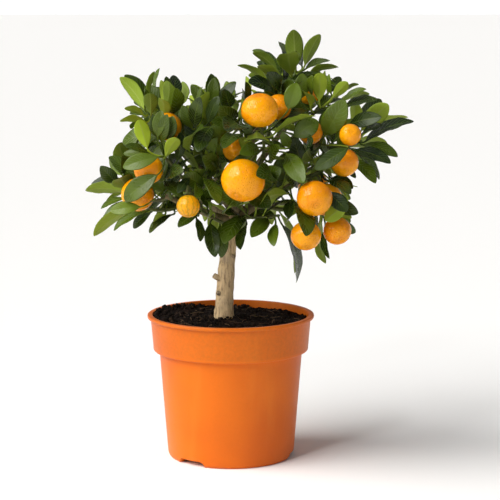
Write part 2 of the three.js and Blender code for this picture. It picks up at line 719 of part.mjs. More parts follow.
const wood = woodSolid(0);
const grownWood = woodSolid(seatGap);
const pot = potSolid();
piece('pot', pot, potPlastic);
piece('soil', soilSolid(grownWood), peat);
piece('trunk_and_branches', wood, bark);

const fruitSolids = Object.fromEntries(Object.keys(fruits).map((name) => [name, fruitSolid(name)]));
for (const [name, solid] of Object.entries(fruitSolids)) {
  piece(name, solid, fruits[name][4] ? unripeSkin : ripeSkin);
}

const twigs = Object.fromEntries(
  Object.entries(shoots).map(([name, shoot]) => [name, largest(twigSolid(shoot).subtract(grownWood))]));
const common = [pot, wood, ...Object.values(fruitSolids)].map(boxed);
const placed = [];
for (const [name, shoot] of Object.entries(shoots)) {
  const strangers = Object.entries(twigs)
    .filter(([other]) => other !== name)
    .map(([, twig]) => boxed(twig));
  const siblings = [];
  let solid = twigs[name];
  for (const leaf of shoot.leaves) {
    const steps = leansUp.flatMap((up) => leansDeep.map((deep) => [deep, up]));
    const tries = steps.values().map(([deep, up]) => leafSolid(leaf, shoot, deep, up));
    const leafHere = tries.find(({ blade, whole }) => (
      apart(whole, [...common, ...strangers, ...placed]) && apart(blade, siblings)));
    if (leafHere) {
      solid = solid.add(leafHere.whole);
      siblings.push(boxed(leafHere.whole));
    }
  }
  placed.push(...siblings);
  piece(`shoot_${name}`, largest(solid), leafGreen);
}

// The part stands on its base, centred across and in depth.
const whole = new THREE.Box3().setFromObject(group);
const middle = whole.getCenter(new THREE.Vector3());
group.position.set(-middle.x, -middle.y, -whole.min.z);

export default group;
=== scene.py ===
import math

import bmesh
import bpy
import numpy as np
from bpy.props import FloatProperty, FloatVectorProperty, IntProperty, PointerProperty
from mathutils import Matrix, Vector, noise
from mathutils.bvhtree import BVHTree
from mathutils.kdtree import KDTree


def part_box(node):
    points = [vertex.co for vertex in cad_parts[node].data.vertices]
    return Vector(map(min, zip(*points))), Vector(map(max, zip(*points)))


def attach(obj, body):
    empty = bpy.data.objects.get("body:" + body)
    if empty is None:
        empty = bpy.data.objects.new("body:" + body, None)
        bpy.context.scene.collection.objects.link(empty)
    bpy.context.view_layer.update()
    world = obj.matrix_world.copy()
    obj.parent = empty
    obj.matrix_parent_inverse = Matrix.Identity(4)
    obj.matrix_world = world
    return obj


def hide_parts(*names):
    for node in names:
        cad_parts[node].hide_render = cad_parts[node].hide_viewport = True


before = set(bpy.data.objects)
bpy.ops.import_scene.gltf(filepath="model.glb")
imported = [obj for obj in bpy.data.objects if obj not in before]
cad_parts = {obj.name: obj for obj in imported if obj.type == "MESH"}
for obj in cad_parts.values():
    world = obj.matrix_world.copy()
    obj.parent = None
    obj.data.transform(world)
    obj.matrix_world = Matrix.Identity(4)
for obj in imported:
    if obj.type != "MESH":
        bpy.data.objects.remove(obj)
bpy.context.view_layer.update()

bl_info = {
    "name": "Potted calamondin",
    "version": (1, 0, 0),
    "blender": (4, 5, 0),
    "location": "3D View > Sidebar > Calamondin",
    "description": "Makes a potted calamondin: nursery pot, peat, wood, leafy shoots and fruit",
    "category": "Object",
}

MM = 0.001
POT_LOW, POT_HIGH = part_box("pot")
POT_AXIS = (POT_LOW + POT_HIGH) / 2
POT_HEIGHT = POT_HIGH.z / MM
LIP_RADIUS = (POT_HIGH.y - POT_LOW.y) / 2 / MM

# The pot's sizes, in millimetres.
BAND_HEIGHT = 26.0
BAND_TOP = LIP_RADIUS - 2.5
BAND_BOTTOM = BAND_TOP - 2.0
WALL = 1.5
BODY_TOP = BAND_BOTTOM - 3.2 - WALL
FOOT_RADIUS = 49.7
FOOT_WIDTH = 5.2
FLOOR_HEIGHT = 4.5
NOTCH_ANGLES = (-39.0, 81.0, 201.0)
NOTCH_SPAN = 28.0
NOTCH_HEIGHT = 4.2
FLOOR_RADII = (10.0, 20.0, 28.0, 32.5, 34.5, 36.5, 38.5, 40.5, 42.2)
HOLE_ROWS = (32.5, 40.5)
HOLE_AT = 36.5
HOLE_RADIUS = 4.0
HOLE_HALF = 3         # columns from a hole's middle to its edge
SOIL_BELOW_LIP = 5.5
SOIL_HEAP = 5.0

# The crown's rounded front, and how leaves are laid on it.
CROWN_MIDDLE = 13.0
SHELL = (128.0, 85.0, 96.0)
SHELL_MIDDLE_Z = 238.0
SHELL_LEAST = 0.08
BACK_SHARE = 0.97
LEAF_BREADTH = 0.42
ARCH_SHARE = 0.1
FOLD_SHARE = 0.16
LEANS_DEEP = (0, -4, 4, -8, 8, -12, 12, -17, 17, -23, 23)
LEANS_UP = (0, 3, -3, 7, -7)
TIP_MATCH = 0.03
BASE_INWARD = 0.3
CROWN_HEART = 215.0
CROWN_FLOOR = (174, 0.24)
PREFIX = "calamondin_"
SEAT_GAP = 0.3
STALK_DIP, EYE_RISE, EYE_DIP = 0.075, 0.09, 0.045
TRUNK_X = -5
SOIL_SEED, FILL_SEED, SHOOT_SEED = 5, 11, 23

# The studio, in the frame's directions.
KEY_WAY = (0.92, 0.34, -0.87)
NEAR_AT, NEAR_AIM, NEAR_SIZE = (-0.62, -0.98, 0.95), (0, 0, 0.22), 0.14
CAMERA_AIM, CAMERA_LIFT = (15, 0, 162), 8.06

UPPER, UNDER = 1, -1

# Where young leaves grow: across, height, how far round, how young.
YOUNG_PLACES = (
    (-66.5, 267, 5, 1.0), (-83, 296, 9, 0.35), (-56, 301, 9, 0.3), (-80, 270, 10, 0.25),
    (-40, 288, 12, 0.18), (60, 300, 12, 0.15),
)
# Leaves that lie in front of fruits: tip, base, breadth, side that faces out, how young.
COVER_LEAVES = (
    ((-77, -79, 233.5), (-52, -78, 241), 12, UPPER, 0.1),
    ((-76.6, -74, 209), (-52.4, -79, 228), 15, UPPER, 0.1),
    ((-88, -62, 200), (-66, -64, 203), 10, UPPER, 0.2),
    ((-49.5, -66, 274), (-52.5, -62, 255), 10, UPPER, 0.12),
    ((-41, -66, 270), (-45, -61, 252), 11, UPPER, 0.0),
    ((49, -66, 294), (43, -66, 275), 13, UPPER, 0.05),
    ((54, -36, 300), (53, -31, 281), 12, UPPER, 0.1),
    ((65, -62, 266), (47, -62, 255), 15, UPPER, 0.0),
    ((62, -76, 232), (86, -74, 247), 12, UPPER, 0.0),
    ((86, -74, 201), (72, -69, 214), 12, UPPER, 0.0),
    ((70, -73, 194), (86, -70, 207.5), 12, UNDER, 0.3),
    ((-8, -70, 214), (8, -58, 205), 12, UPPER, 0.0),
    ((30, -72, 204), (14, -60, 212), 14, UPPER, 0.0),
    ((38, -68, 232), (24, -58, 222), 13, UPPER, 0.0),
    ((-20, -66, 240), (-8, -52, 232), 14, UPPER, 0.0),
    ((-14, -60, 262), (-4, -46, 250), 14, UPPER, 0.05),
    ((-34, -62, 226), (-20, -52, 218), 13, UPPER, 0.0),
)
# Healed cuts on the trunk: place, the way they face, radius.
SCARS = (((-9.5, -5.2, 129), (-0.6, -0.8, 0.1), 1.7), ((2.5, -6, 158), (0.5, -0.85, 0.1), 1.3))
# Each limb's bends, then its radius at its start and end. The trunk is first and its stub second.
LIMBS = (
    (((-5, 0, 90.5), (-6, 0, 136), (-2, 0, 160), (2, 0, 196)), (7.5, 5.4)),
    (((-4, -2, 138), (-9, -3, 140), (-13, -4, 142.5)), (2.6, 2.2)),
    (((1, 0, 184), (-22, -20, 194), (-48, -36, 208)), (3.6, 1.8)),
    (((2, 0, 192), (-16, -12, 222), (-44, -22, 246)), (3.6, 1.7)),
    (((2, 0, 190), (8, -22, 200), (20, -42, 228)), (3.4, 1.9)),
    (((2, 0, 186), (26, -18, 200), (54, -34, 222)), (3.6, 1.8)),
    (((2, 0, 194), (30, -6, 226), (68, -14, 246)), (3.8, 1.8)),
    (((2, 0, 190), (4, 0, 236), (35, -4, 282)), (4.6, 1.8)),
    (((1, 0, 186), (-18, 22, 196), (-46, 38, 210)), (3.4, 1.8)),
    (((2, 0, 192), (-12, 20, 224), (-34, 34, 250)), (3.4, 1.7)),
    (((2, 0, 188), (26, 20, 200), (56, 38, 222)), (3.6, 1.8)),
    (((2, 0, 194), (20, 20, 230), (46, 34, 258)), (3.4, 1.8)),
)
# Each fruit's middle, diameter, flatness and the way to its stalk. An unripe one says so.
FRUITS = {
    "fruit_front_top": ((22, -80, 275), 27, 0.9, (0.05, 0.3, -1)),
    "fruit_front_large": ((10, -80, 224.3), 32, 0.94, (0.3, 0.6, 0.75)),
    "fruit_right_front": ((62, -78, 211), 26, 0.94, (-0.1, 0.9, 0.35)),
    "fruit_right_behind": ((71.5, -50, 207), 25, 0.94, (-0.2, 0.5, 0.8)),
    "fruit_low_right_inner": ((56.2, -66, 182), 22.5, 0.94, (-0.1, 0.6, 0.75)),
    "fruit_low_right_outer": ((79.7, -58, 184.5), 21, 0.94, (-0.3, 0.75, 0.55)),
    "fruit_far_right_small": ((88.3, -65, 256.3), 16, 0.95, (0, 0.9, -0.4)),
    "fruit_far_right": ((84.5, -60, 235.5), 21, 0.94, (-0.1, 0.8, 0.5)),
    "fruit_unripe": ((-30, -76, 205), 17, 0.98, (-0.05, 0.35, 0.95), True),
    "fruit_left_upper": ((-59.5, -64, 231), 22, 0.94, (0.5, 0.75, 0.2)),
    "fruit_left_lower": ((-69, -45, 210), 25, 0.94, (0.5, 0.75, 0.4)),
    "fruit_centre_inner": ((3.5, -40, 243.5), 18, 0.95, (0.5, 0.7, 0.4)),
    "fruit_left_top": ((-46, -49, 261), 21, 0.94, (0.2, 0.95, 0.1)),
    "fruit_top_inner": ((36, -54, 276), 19, 0.95, (0, 0.8, 0.5)),
    "fruit_top_right": ((60, -16, 284), 17, 0.95, (-0.4, 0.6, -0.4)),
    "fruit_right_inner": ((60, -48, 257), 18, 0.95, (-0.5, 0.8, 0.2)),
    "fruit_back_left": ((-52, 58, 216), 24, 0.94, (0.3, -0.6, 0.7)),
    "fruit_back_right": ((66, 60, 206), 25, 0.94, (-0.2, -0.6, 0.75)),
    "fruit_back_centre": ((8, 74, 232), 26, 0.94, (0.1, -0.7, 0.7)),
}
# Each shoot's twig, then its leaves: the tip's and the base's x and z, the breadth that shows,
# the side that faces out, and the share of the crown's depth at which the tip lies. Then its fruits.
SHOOTS = {
    "left_top_outer": (((-41, -21, 244), (-52, -30, 256), (-61, -36, 270)), (
        (-83, 296.5, -64.5, 274, 11, UNDER, 1), (-56, 301.5, -60, 283, 4, UNDER, 0.8),
        (-62.5, 288.5, -63.5, 274, 4, UPPER, 0.6), (-58.5, 286, -58.5, 270, 11, UNDER, 1),
        (-77.5, 275, -64, 269, 6, UNDER, 1), (-81, 265.5, -63, 264, 6, UNDER, 1),
    )),
    "left_top_inner": (((-34, -18, 240), (-42, -24, 250), (-47, -28, 266)), (
        (-45, 295, -48, 273, 11, UNDER, 1), (-51, 295, -50, 276, 7, UNDER, 0.7),
        (-39.5, 290, -42, 270, 9, UPPER, 1), (-49.5, 279, -50, 267, 10, UNDER, 1.1),
        (-34, 266, -41, 254, 8, UPPER, 0.8),
    ), "fruit_left_top"),
    "left_mid_upper": (((-20, -18, 193), (-30, -48, 218), (-48, -52, 239)), (
        (-66.5, 267, -61, 246, 12, UNDER, 1), (-55.5, 271, -54, 254, 8.5, UPPER, 0.85),
        (-45, 271.5, -50, 250, 10, UPPER, 1), (-37.5, 254.5, -47, 240, 10, UNDER, 1),
        (-36.5, 257.5, -39, 236, 8, UPPER, 0.85), (-76.5, 248, -60, 242, 5, UPPER, 1),
        (-79, 241, -64, 240, 5, UPPER, 0.8), (-76, 238.5, -55, 240, 5, UNDER, 0.7),
    ), "fruit_left_upper"),
    "left_mid_lower": (((-44, -33, 205), (-46, -44, 212), (-50, -44, 226)), (
        (-78, 228.5, -58, 224, 5.5, UPPER, 0.7), (-76, 206.5, -57, 222, 6.5, UPPER, 1.15),
        (-33, 231, -46, 225, 8, UPPER, 1), (-35, 211, -48, 220, 8, UPPER, 1),
    )),
    "far_left_upper": (((-46, -34, 207), (-62, -22, 198), (-80, -24, 214)), (
        (-96.5, 231.5, -86, 218, 11, UPPER, 1), (-80, 239.5, -80, 225, 6.5, UPPER, 0.9),
        (-82, 230, -77, 213, 17, UNDER, 1.3), (-110, 211, -80, 210, 10, UNDER, 1),
        (-98.5, 197, -79, 205, 4, UPPER, 1),
    ), "fruit_left_lower"),
    "far_left_lower": (((-36, -28, 200), (-50, -30, 194), (-63, -30, 198)), (
        (-104, 176, -70, 198, 10.5, UNDER, 1), (-88, 181.5, -62, 196, 5, UPPER, 1.1),
        (-60, 181.5, -43, 194, 5, UPPER, 1), (-57.5, 188, -50, 194, 4, UNDER, 1),
        (-74, 182, -60, 195, 7, UPPER, 0.6),
    )),
    "centre_left_upper": (((-15, -10, 219), (-22, -34, 240), (-25, -46, 259)), (
        (-21, 284, -25.5, 262, 11, UPPER, 1), (-34.5, 277.5, -28, 260, 9, UPPER, 1),
        (-15.3, 287.5, -22, 264, 8, UNDER, 0.85), (-20, 290.5, -23.5, 273, 3, UPPER, 0.7),
        (-23, 245, -14, 261, 12, UPPER, 1), (-19, 262.3, -30, 244, 4.5, UNDER, 1.05),
        (-8, 284, -16, 264, 9, UPPER, 0.75),
    )),
    "centre_top": (((6, 0, 232), (12, -22, 248), (6, -42, 264)), (
        (-4.2, 290, 0, 275, 10.5, UPPER, 1), (-7.5, 277.5, 4, 266, 13, UPPER, 1),
        (9, 284, 7, 268, 5, UNDER, 0.9), (11.7, 294.5, 12, 278, 5, UPPER, 0.8),
        (-13, 266, 1, 262, 8, UPPER, 1), (-2.5, 259, 8, 260, 6, UPPER, 0.95),
        (-4, 247, 8, 255, 8, UPPER, 0.9), (16, 256, 10, 262, 8, UPPER, 0.8),
    ), "fruit_centre_inner"),
    "front_centre": (((19, -40, 225), (28, -52, 240), (24, -62, 257)), (
        (20, 256.5, 20, 258.5, 19, UNDER, 1.2), (7.5, 244, 21, 247, 10, UPPER, 1),
        (62.8, 270.5, 33, 257, 5.5, UNDER, 1), (59, 272, 34, 262, 6, UPPER, 0.75),
        (36.8, 249.5, 30, 236, 7, UPPER, 1), (19.5, 229.5, 32, 224, 9, UPPER, 1.18),
        (54, 223, 42, 242, 15, UPPER, 1.08), (38, 258.5, 44, 247, 8, UPPER, 0.85),
    ), "fruit_front_top", "fruit_front_large"),
    "top_centre": (((33, -3, 278), (42, 0, 286), (50, 0, 299)), (
        (48, 332, 50, 304, 14, UNDER, 0.3), (53, 321, 55, 304, 8, UPPER, -0.6),
        (68.3, 328.5, 57, 305, 10, UNDER, 0.1), (42.7, 315, 46.4, 298, 18, UNDER, 1),
        (77, 308, 58, 302, 5, UPPER, -0.5), (81.7, 304, 60, 298, 6, UNDER, 0.5),
        (38, 322, 46, 299, 9, UPPER, -0.9),
    ), "fruit_top_right"),
    "top_left": (((24, -2, 262), (32, -26, 280), (38, -32, 292)), (
        (17, 315.5, 35, 303, 7, UNDER, 0.8), (21.3, 306.3, 37, 293, 9, UNDER, 1),
        (27, 301, 37, 288, 9, UPPER, 0.7), (13.7, 294.5, 33, 286, 8.5, UPPER, 1),
        (47.8, 295, 39, 284, 7, UPPER, 1), (53, 294.5, 43, 281, 6, UNDER, 1),
        (50, 272, 36, 276, 8, UPPER, 0.5),
    ), "fruit_top_inner"),
    "upper_right": (((48, -8, 240), (54, -22, 264), (68, -34, 274)), (
        (66.7, 301, 66.5, 280, 11.5, UNDER, 1), (74, 299.5, 76, 284, 4, UPPER, 0.7),
        (61, 299, 61, 284, 5, UPPER, 0.8), (87, 294, 76.5, 282, 8.5, UNDER, 1),
        (53, 288, 60, 276, 5, UNDER, 0.9), (101.2, 288.5, 84, 279, 4, UPPER, 1),
        (109.8, 280.8, 84, 274, 6, UPPER, 1),
    ), "fruit_right_inner"),
    "hero_right": (((56, -10, 240), (62, -36, 238), (68, -42, 247)), (
        (84, 282, 70.5, 255, 18, UPPER, 1.1), (72, 279, 67, 258, 7, UPPER, 0.8),
        (82.5, 247, 74, 240, 9, UPPER, 0.6), (60.4, 250, 61, 236, 6, UNDER, 1.05),
        (75, 225.5, 60, 234, 10, UNDER, 1.1), (49, 262, 61, 243, 8, UPPER, 0.6),
    )),
    "right_upper": (((66, -13, 245), (82, -22, 240), (98, -24, 248)), (
        (112.5, 268, 90, 262, 11, UPPER, 1), (118.3, 277, 99, 257, 15, UNDER, 1),
        (138.7, 263.5, 102, 248, 7, UPPER, 1), (114.5, 261.5, 99, 254, 4, UPPER, 0.7),
        (125.3, 238, 100, 246, 8, UPPER, 1),
    ), "fruit_far_right_small"),
    "right_lower": (((53, -33, 221), (70, -30, 224), (87, -30, 240)), (
        (119.3, 234, 91, 242, 8.5, UPPER, 1), (108, 219.5, 91, 236, 9, UPPER, 1),
        (66, 238, 80, 236, 6, UPPER, 0.7), (93, 223.3, 78, 230, 4, UPPER, 1.1),
        (91, 216, 76, 222, 9, UPPER, 0.9),
    ), "fruit_far_right"),
    "front_right": (((24, -16, 201), (44, -44, 216), (68, -46, 227)), (
        (22, 206, 42, 211, 9, UNDER, 0.95), (55, 185, 48, 206, 12, UPPER, 1.4),
        (44, 194, 46, 206, 8, UPPER, 1), (88, 214, 72, 222, 7, UPPER, 1.2),
        (40, 226, 50, 218, 8, UPPER, 0.9),
    ), "fruit_right_front", "fruit_right_behind"),
    "lower_right": (((24, -15, 198), (46, -22, 194), (68, -30, 198)), (
        (73, 155, 68, 188, 7.5, UNDER, 1), (75.5, 159, 72, 182, 5, UPPER, 0.6),
        (96, 196, 76, 205, 11, UPPER, 1), (92, 191, 74, 197, 8, UNDER, 0.6),
        (95, 180, 80, 188, 9, UPPER, 0.8),
    ), "fruit_low_right_inner", "fruit_low_right_outer"),
    "lower_centre": (((2, -3, 188), (18, -28, 190), (36, -42, 194)), (
        (50.3, 140, 39.5, 186, 7.5, UPPER, 1), (33, 174, 34, 188, 8, UPPER, 1.05),
        (16, 181, 28, 192, 11, UPPER, 1), (-4, 199.5, 17, 204, 9, UNDER, 0.95),
        (-4, 175, 10, 192, 12, UPPER, 0.95), (8, 168, 12, 184, 7, UPPER, 0.7),
    )),
    "lower_left": (((0, -3, 181), (-10, -26, 188), (-22, -44, 198)), (
        (-22, 177, -25, 193, 6, UPPER, 1), (-38, 188, -25, 196, 7, UPPER, 1),
        (-11, 164, -15, 187, 12, UPPER, 1), (-7, 160, -8, 184, 9.5, UPPER, 0.6),
        (-40, 204, -26, 200, 7, UPPER, 0.75),
    )),
    "centre_mid": (((-6, -6, 207), (-18, -48, 224), (-31, -56, 224)), (
        (-25, 212, -24, 220, 7, UPPER, 1), (-8, 207, -18, 223, 9, UPPER, 1),
        (-13, 237, -16, 222, 7, UPPER, 0.85), (3, 208, -9, 218, 8, UPPER, 0.85),
        (-9, 254, -14, 238, 7, UPPER, 0.8), (-38, 214, -30, 224, 7, UPPER, 0.85),
    ), "fruit_unripe"),
    "centre_inner_left": (((-8, -7, 214), (-14, -12, 244), (-14, -10, 268)), (
        (-12, 296, -14, 273, 10, UPPER, 0.2), (-30, 290, -18, 270, 9, UPPER, 0.1),
        (4, 292, -10, 272, 9, UPPER, 0.15), (-40, 268, -18, 258, 8, UPPER, 0.1),
        (-36, 250, -16, 246, 8, UPPER, 0.1), (-30, 232, -13, 236, 8, UPPER, 0.1),
    )),
}
# Each shoot at the back: the front one it is turned round from, where its twig starts, its fruits.
BACK_SHOOTS = {
    "back_left_top": ("left_top_outer", (-33, 33, 248)),
    "back_left_upper": ("left_top_inner", (-28, 29, 242)),
    "back_left_middle": ("left_mid_upper", (-30, 28, 202), "fruit_back_left"),
    "back_far_left": ("far_left_upper", (-44, 36, 208)),
    "back_left_low": ("far_left_lower", (-36, 31, 204)),
    "back_centre_left": ("centre_left_upper", (-14, 18, 224)),
    "back_centre_top": ("centre_top", (19, 18, 226)),
    "back_centre": ("centre_mid", (-5, 11, 209), "fruit_back_centre"),
    "back_inner_left": ("centre_inner_left", (-5, 8, 213)),
    "back_top_left": ("top_left", (29, 25, 242)),
    "back_upper_right": ("upper_right", (42, 32, 253)),
    "back_right_upper": ("right_upper", (51, 36, 218)),
    "back_right_lower": ("right_lower", (48, 32, 216), "fruit_back_right"),
    "back_right_low": ("lower_right", (24, 16, 198)),
    "back_low_centre": ("lower_centre", (2, 3, 189)),
    "back_low_left": ("lower_left", (0, 3, 183)),
}


# ---- places ----
def place(points):
    """Places written in the pot's millimetres, in the frame's metres."""
    return np.array([POT_AXIS.x, POT_AXIS.y, 0.0]) + np.array(points, float) * MM


def on_circle(radius, turn):
    return radius * math.cos(turn), radius * math.sin(turn)


def ray(aside, up, turn):
    return aside * math.cos(turn) + up * math.sin(turn)


def hill(distance, width):
    """1 at no distance, falling away over the width."""
    return math.exp(-(distance / width) ** 2)


def unit(vector):
    return vector / max(np.linalg.norm(vector), 1e-12)


def bezier(points, along):
    """A point and the direction there on the curve that these points draw."""
    points = [np.array(p, float) for p in points]
    direction = points[-1] - points[0]
    while len(points) > 1:
        if len(points) == 2:
            direction = points[1] - points[0]
        points = [a + (b - a) * along for a, b in zip(points, points[1:])]
    return points[0], unit(direction)


def shell_depth(across, height):
    inside = 1 - ((across - CROWN_MIDDLE) / SHELL[0]) ** 2 - ((height - SHELL_MIDDLE_Z) / SHELL[2]) ** 2
    return -SHELL[1] * math.sqrt(max(SHELL_LEAST, inside))


# ---- meshes ----
class Skin:
    """Gathers closed bodies, each with a finish for its faces and a note on its points."""

    def __init__(self):
        self.points, self.faces, self.finishes, self.notes, self.count = [], [], [], [], 0

    def add(self, points, faces, finishes=0, notes=(0,) * 6):
        """Adds a body. A single finish or note holds for all of it."""
        self.points.append(np.asarray(points, float))
        self.faces += [tuple(self.count + i for i in face) for face in faces]
        self.finishes += [finishes] * len(faces) if isinstance(finishes, int) else finishes
        self.notes.append(np.broadcast_to(np.asarray(notes, float), (len(points), 6)))
        self.count += len(points)

    def object(self, name, materials):
        mesh = bpy.data.meshes.new(name)
        mesh.from_pydata(np.concatenate(self.points).tolist(), [], self.faces)
        for material in materials:
            mesh.materials.append(material)
        mesh.polygons.foreach_set("material_index", np.array(self.finishes, np.int32))
        mesh.polygons.foreach_set("use_smooth", np.full(len(mesh.polygons), True))
        notes = np.concatenate(self.notes).astype(np.float32)
        for key, columns in (("note", notes[:, :3]), ("tone", notes[:, 3:])):
            mesh.attributes.new(key, "FLOAT_VECTOR", "POINT").data.foreach_set("vector", columns.ravel())
        mesh.update()
        made = bpy.data.objects.new(name, mesh)
        bpy.context.scene.collection.objects.link(made)
        return made


def loft_faces(rings, sides, closed_start=True, closed_end=True):
    """Faces between rings of points, with flat or pointed ends."""
    faces = []
    for ring in range(rings - 1):
        low, high = ring * sides, (ring + 1) * sides
        for k in range(sides):
            nxt = (k + 1) % sides
            faces.append((low + k, low + nxt, high + nxt, high + k))
    if closed_start:
        faces.append(tuple(reversed(range(sides))))
    if closed_end:
        faces.append(tuple((rings - 1) * sides + k for k in range(sides)))
    return faces


def outward(points, faces):
    """The faces, turned round if they face into the body."""
    total = 0.0
    for face in faces:
        a = points[face[0]]
        for i in range(1, len(face) - 1):
            total += float(np.dot(a, np.cross(points[face[i]], points[face[i + 1]])))
    return faces if total > 0 else [tuple(reversed(face)) for face in faces]


def frames_along(centres):
    """A direction and two directions across it at each point of a path, without twist."""
    centres = np.array(centres)
    tangents = np.gradient(centres, axis=0)
    aside = None
    result = []
    for tangent in tangents:
        tangent = unit(tangent)
        if aside is None:
            start = np.array([0, 1, 0.0]) if abs(tangent[1]) < 0.7 else np.array([1.0, 0, 0])
            aside = unit(np.cross(tangent, start))
        aside = unit(aside - tangent * np.dot(aside, tangent))
        result.append((tangent, aside, np.cross(tangent, aside)))
    return result


def tube(skin, centres, radii, sides, finish, note=(0, 0, 0, 0, 0, 0), rough=None):
    """A round stem through the centres. rough(point) moves its surface in or out."""
    rings = []
    for centre, radius, (_, aside, up) in zip(centres, radii, frames_along(centres)):
        for k in range(sides):
            way = ray(aside, up, 2 * math.pi * k / sides)
            point = centre + way * radius
            if rough:
                point = point + way * rough(point)
            rings.append(point)
    faces = outward(rings, loft_faces(len(centres), sides))
    notes = [(note[0], i / sides / (len(centres) - 1), *note[2:]) for i in range(len(rings))]
    skin.add(rings, faces, finish, notes)


# ---- shoots ----
SIDES_ACROSS = (1, 0.86, 0.58, 0.26, 0.055, -0.055, -0.26, -0.58, -0.86, -1)
BLADE_STATIONS = (0.0, 0.035, 0.09, 0.17, 0.26, 0.36, 0.46, 0.56, 0.66, 0.75, 0.83, 0.9, 0.955, 0.988, 1.0)
PETIOLE_STEPS = 5
UPPER_FACE, UNDER_FACE, TWIG, CALYX = range(4)


def every_shoot():
    """Each shoot's twig, leaves and fruits, and 1 for the front of the crown or -1 for its back."""
    shoots = {name: {"twig": twig, "leaves": leaves, "fruits": fruits, "back": 1}
              for name, (twig, leaves, *fruits) in SHOOTS.items()}
    for name, (like, start, *fruits) in BACK_SHOOTS.items():
        (_, bend, end), leaves, *_ = SHOOTS[like]
        twig = (start, (bend[0], -bend[1], bend[2]), (end[0], -end[1], end[2]))
        shoots[name] = {"twig": twig, "leaves": leaves, "fruits": fruits, "back": -1}
    return shoots


def nearest(points, across, height):
    spots = [bezier(points, k / 12)[0] for k in range(3, 13)]
    return min(spots, key=lambda p: math.hypot(p[0] - across, p[2] - height))


def leaf_pose(leaf, shoot, lean_deep, lean_up):
    """Where a leaf's stalk, base and tip lie, and how it is turned, in millimetres."""
    tip_x, tip_z, base_x, base_z, seen, side, share = leaf
    back = shoot["back"]
    joint = nearest(shoot["twig"], base_x, base_z)
    reach = share * BACK_SHARE if back < 0 else share
    tip_y = back * (shell_depth(tip_x, tip_z) * reach + lean_deep)
    tip = np.array([tip_x, tip_y, tip_z + lean_up], float)
    base = np.array([base_x, joint[1] + (tip_y - joint[1]) * BASE_INWARD, base_z], float)
    length = np.linalg.norm(tip - base)
    along = unit(tip - base)
    breadth = max(seen, LEAF_BREADTH * length)
    facing = np.array([0.0, -back, 0.0])
    flat = unit(facing - along * np.dot(facing, along))
    aside = np.cross(along, flat)
    turned = math.acos(min(1.0, seen / breadth))
    lean = aside[2] * back + 0.2 * np.sign(CROWN_MIDDLE - tip_x) * aside[0] * back
    skyward = -back if lean < 0 else back
    face = unit(flat * side * math.cos(turned) + aside * skyward * math.sin(turned))
    return {"root": joint, "base": base, "tip": tip, "along": along, "face": face,
            "span": np.cross(along, face), "length": length, "breadth": breadth}


def settled_poses(shoot, node):
    """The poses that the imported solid's own leaf tips show, of the steps a leaf may lean by."""
    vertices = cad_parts[node].data.vertices
    tree = KDTree(len(vertices))
    for vertex in vertices:
        tree.insert(vertex.co, vertex.index)
    tree.balance()
    poses = []
    for leaf in shoot["leaves"]:
        for up in LEANS_UP:
            found = None
            for deep in LEANS_DEEP:
                pose = leaf_pose(leaf, shoot, deep, up)
                if tree.find(Vector(place(pose["tip"])))[2] < TIP_MATCH * MM:
                    found = pose
                    break
            if found:
                poses.append(found)
                break
    return poses


def width_share(along):
    """A blade's breadth along its length, widest a little past the middle and blunt at the tip."""
    return math.sin(math.pi * along ** 1.12) ** 0.62 if 0 < along < 1 else 0.0


def leaf_sections(pose, stalk_radius, sizes):
    """Centre, half breadth, half thickness and place along the blade, for each section of a leaf."""
    arch = ARCH_SHARE * pose["length"]
    start = unit(pose["along"] + 4 * ARCH_SHARE * pose["face"])
    gap = np.linalg.norm(pose["base"] - pose["root"])
    bend = pose["base"] - start * min(6.0, 0.45 * gap)
    stalk = [bezier((pose["root"], bend, pose["base"]), k / PETIOLE_STEPS)[0] for k in range(PETIOLE_STEPS)]
    sections = []
    for k, centre in enumerate(stalk):
        swell = 1 + 0.25 * abs(2 * k / PETIOLE_STEPS - 1)
        sections.append((centre, stalk_radius * swell, stalk_radius * swell, k / PETIOLE_STEPS - 1))
    for along in BLADE_STATIONS:
        centre = (pose["base"] + pose["along"] * pose["length"] * along
                  + pose["face"] * arch * 4 * along * (1 - along))
        half = max(pose["breadth"] / 2 * width_share(along), stalk_radius * (1 - along) ** 2)
        thick = (sizes.blade_thickness / MM / 2 * (1 - 0.5 * along)
                 + stalk_radius * max(0, 1 - along / 0.12) * 0.7)
        sections.append((centre, half, thick, along))
    return sections


def leaf_ring(section, directions, sizes, draw):
    """A section's outline: along the upper side, then back along the under side."""
    centre, half, thick, along = section
    span, face = directions
    top, bottom = [], []
    blade = max(0.0, min(1.0, along / 0.1))
    crinkle = draw["crinkle"] * half * math.sin(2 * math.pi * (draw["waves"] * along + draw["phase"]))
    for across in SIDES_ACROSS:
        edge = abs(across)
        lift = blade * half * (FOLD_SHARE * draw["fold"] * edge ** 1.2)
        lift += blade * crinkle * edge ** 2 * (1 if across > 0 else draw["other"])
        body = thick * math.sqrt(max(0.0, 1 - across * across))
        groove = blade * sizes.midrib / MM * 0.35 * max(0, 1 - edge / 0.2) * (1 - along)
        rib = blade * sizes.midrib / MM * max(0, 1 - edge / 0.2) * (1.1 - along)
        spot = centre + span * half * across + face * lift
        top.append(spot + face * (body - groove))
        if edge < 1:
            bottom.append(spot - face * (body + rib))
    return top + bottom[::-1]


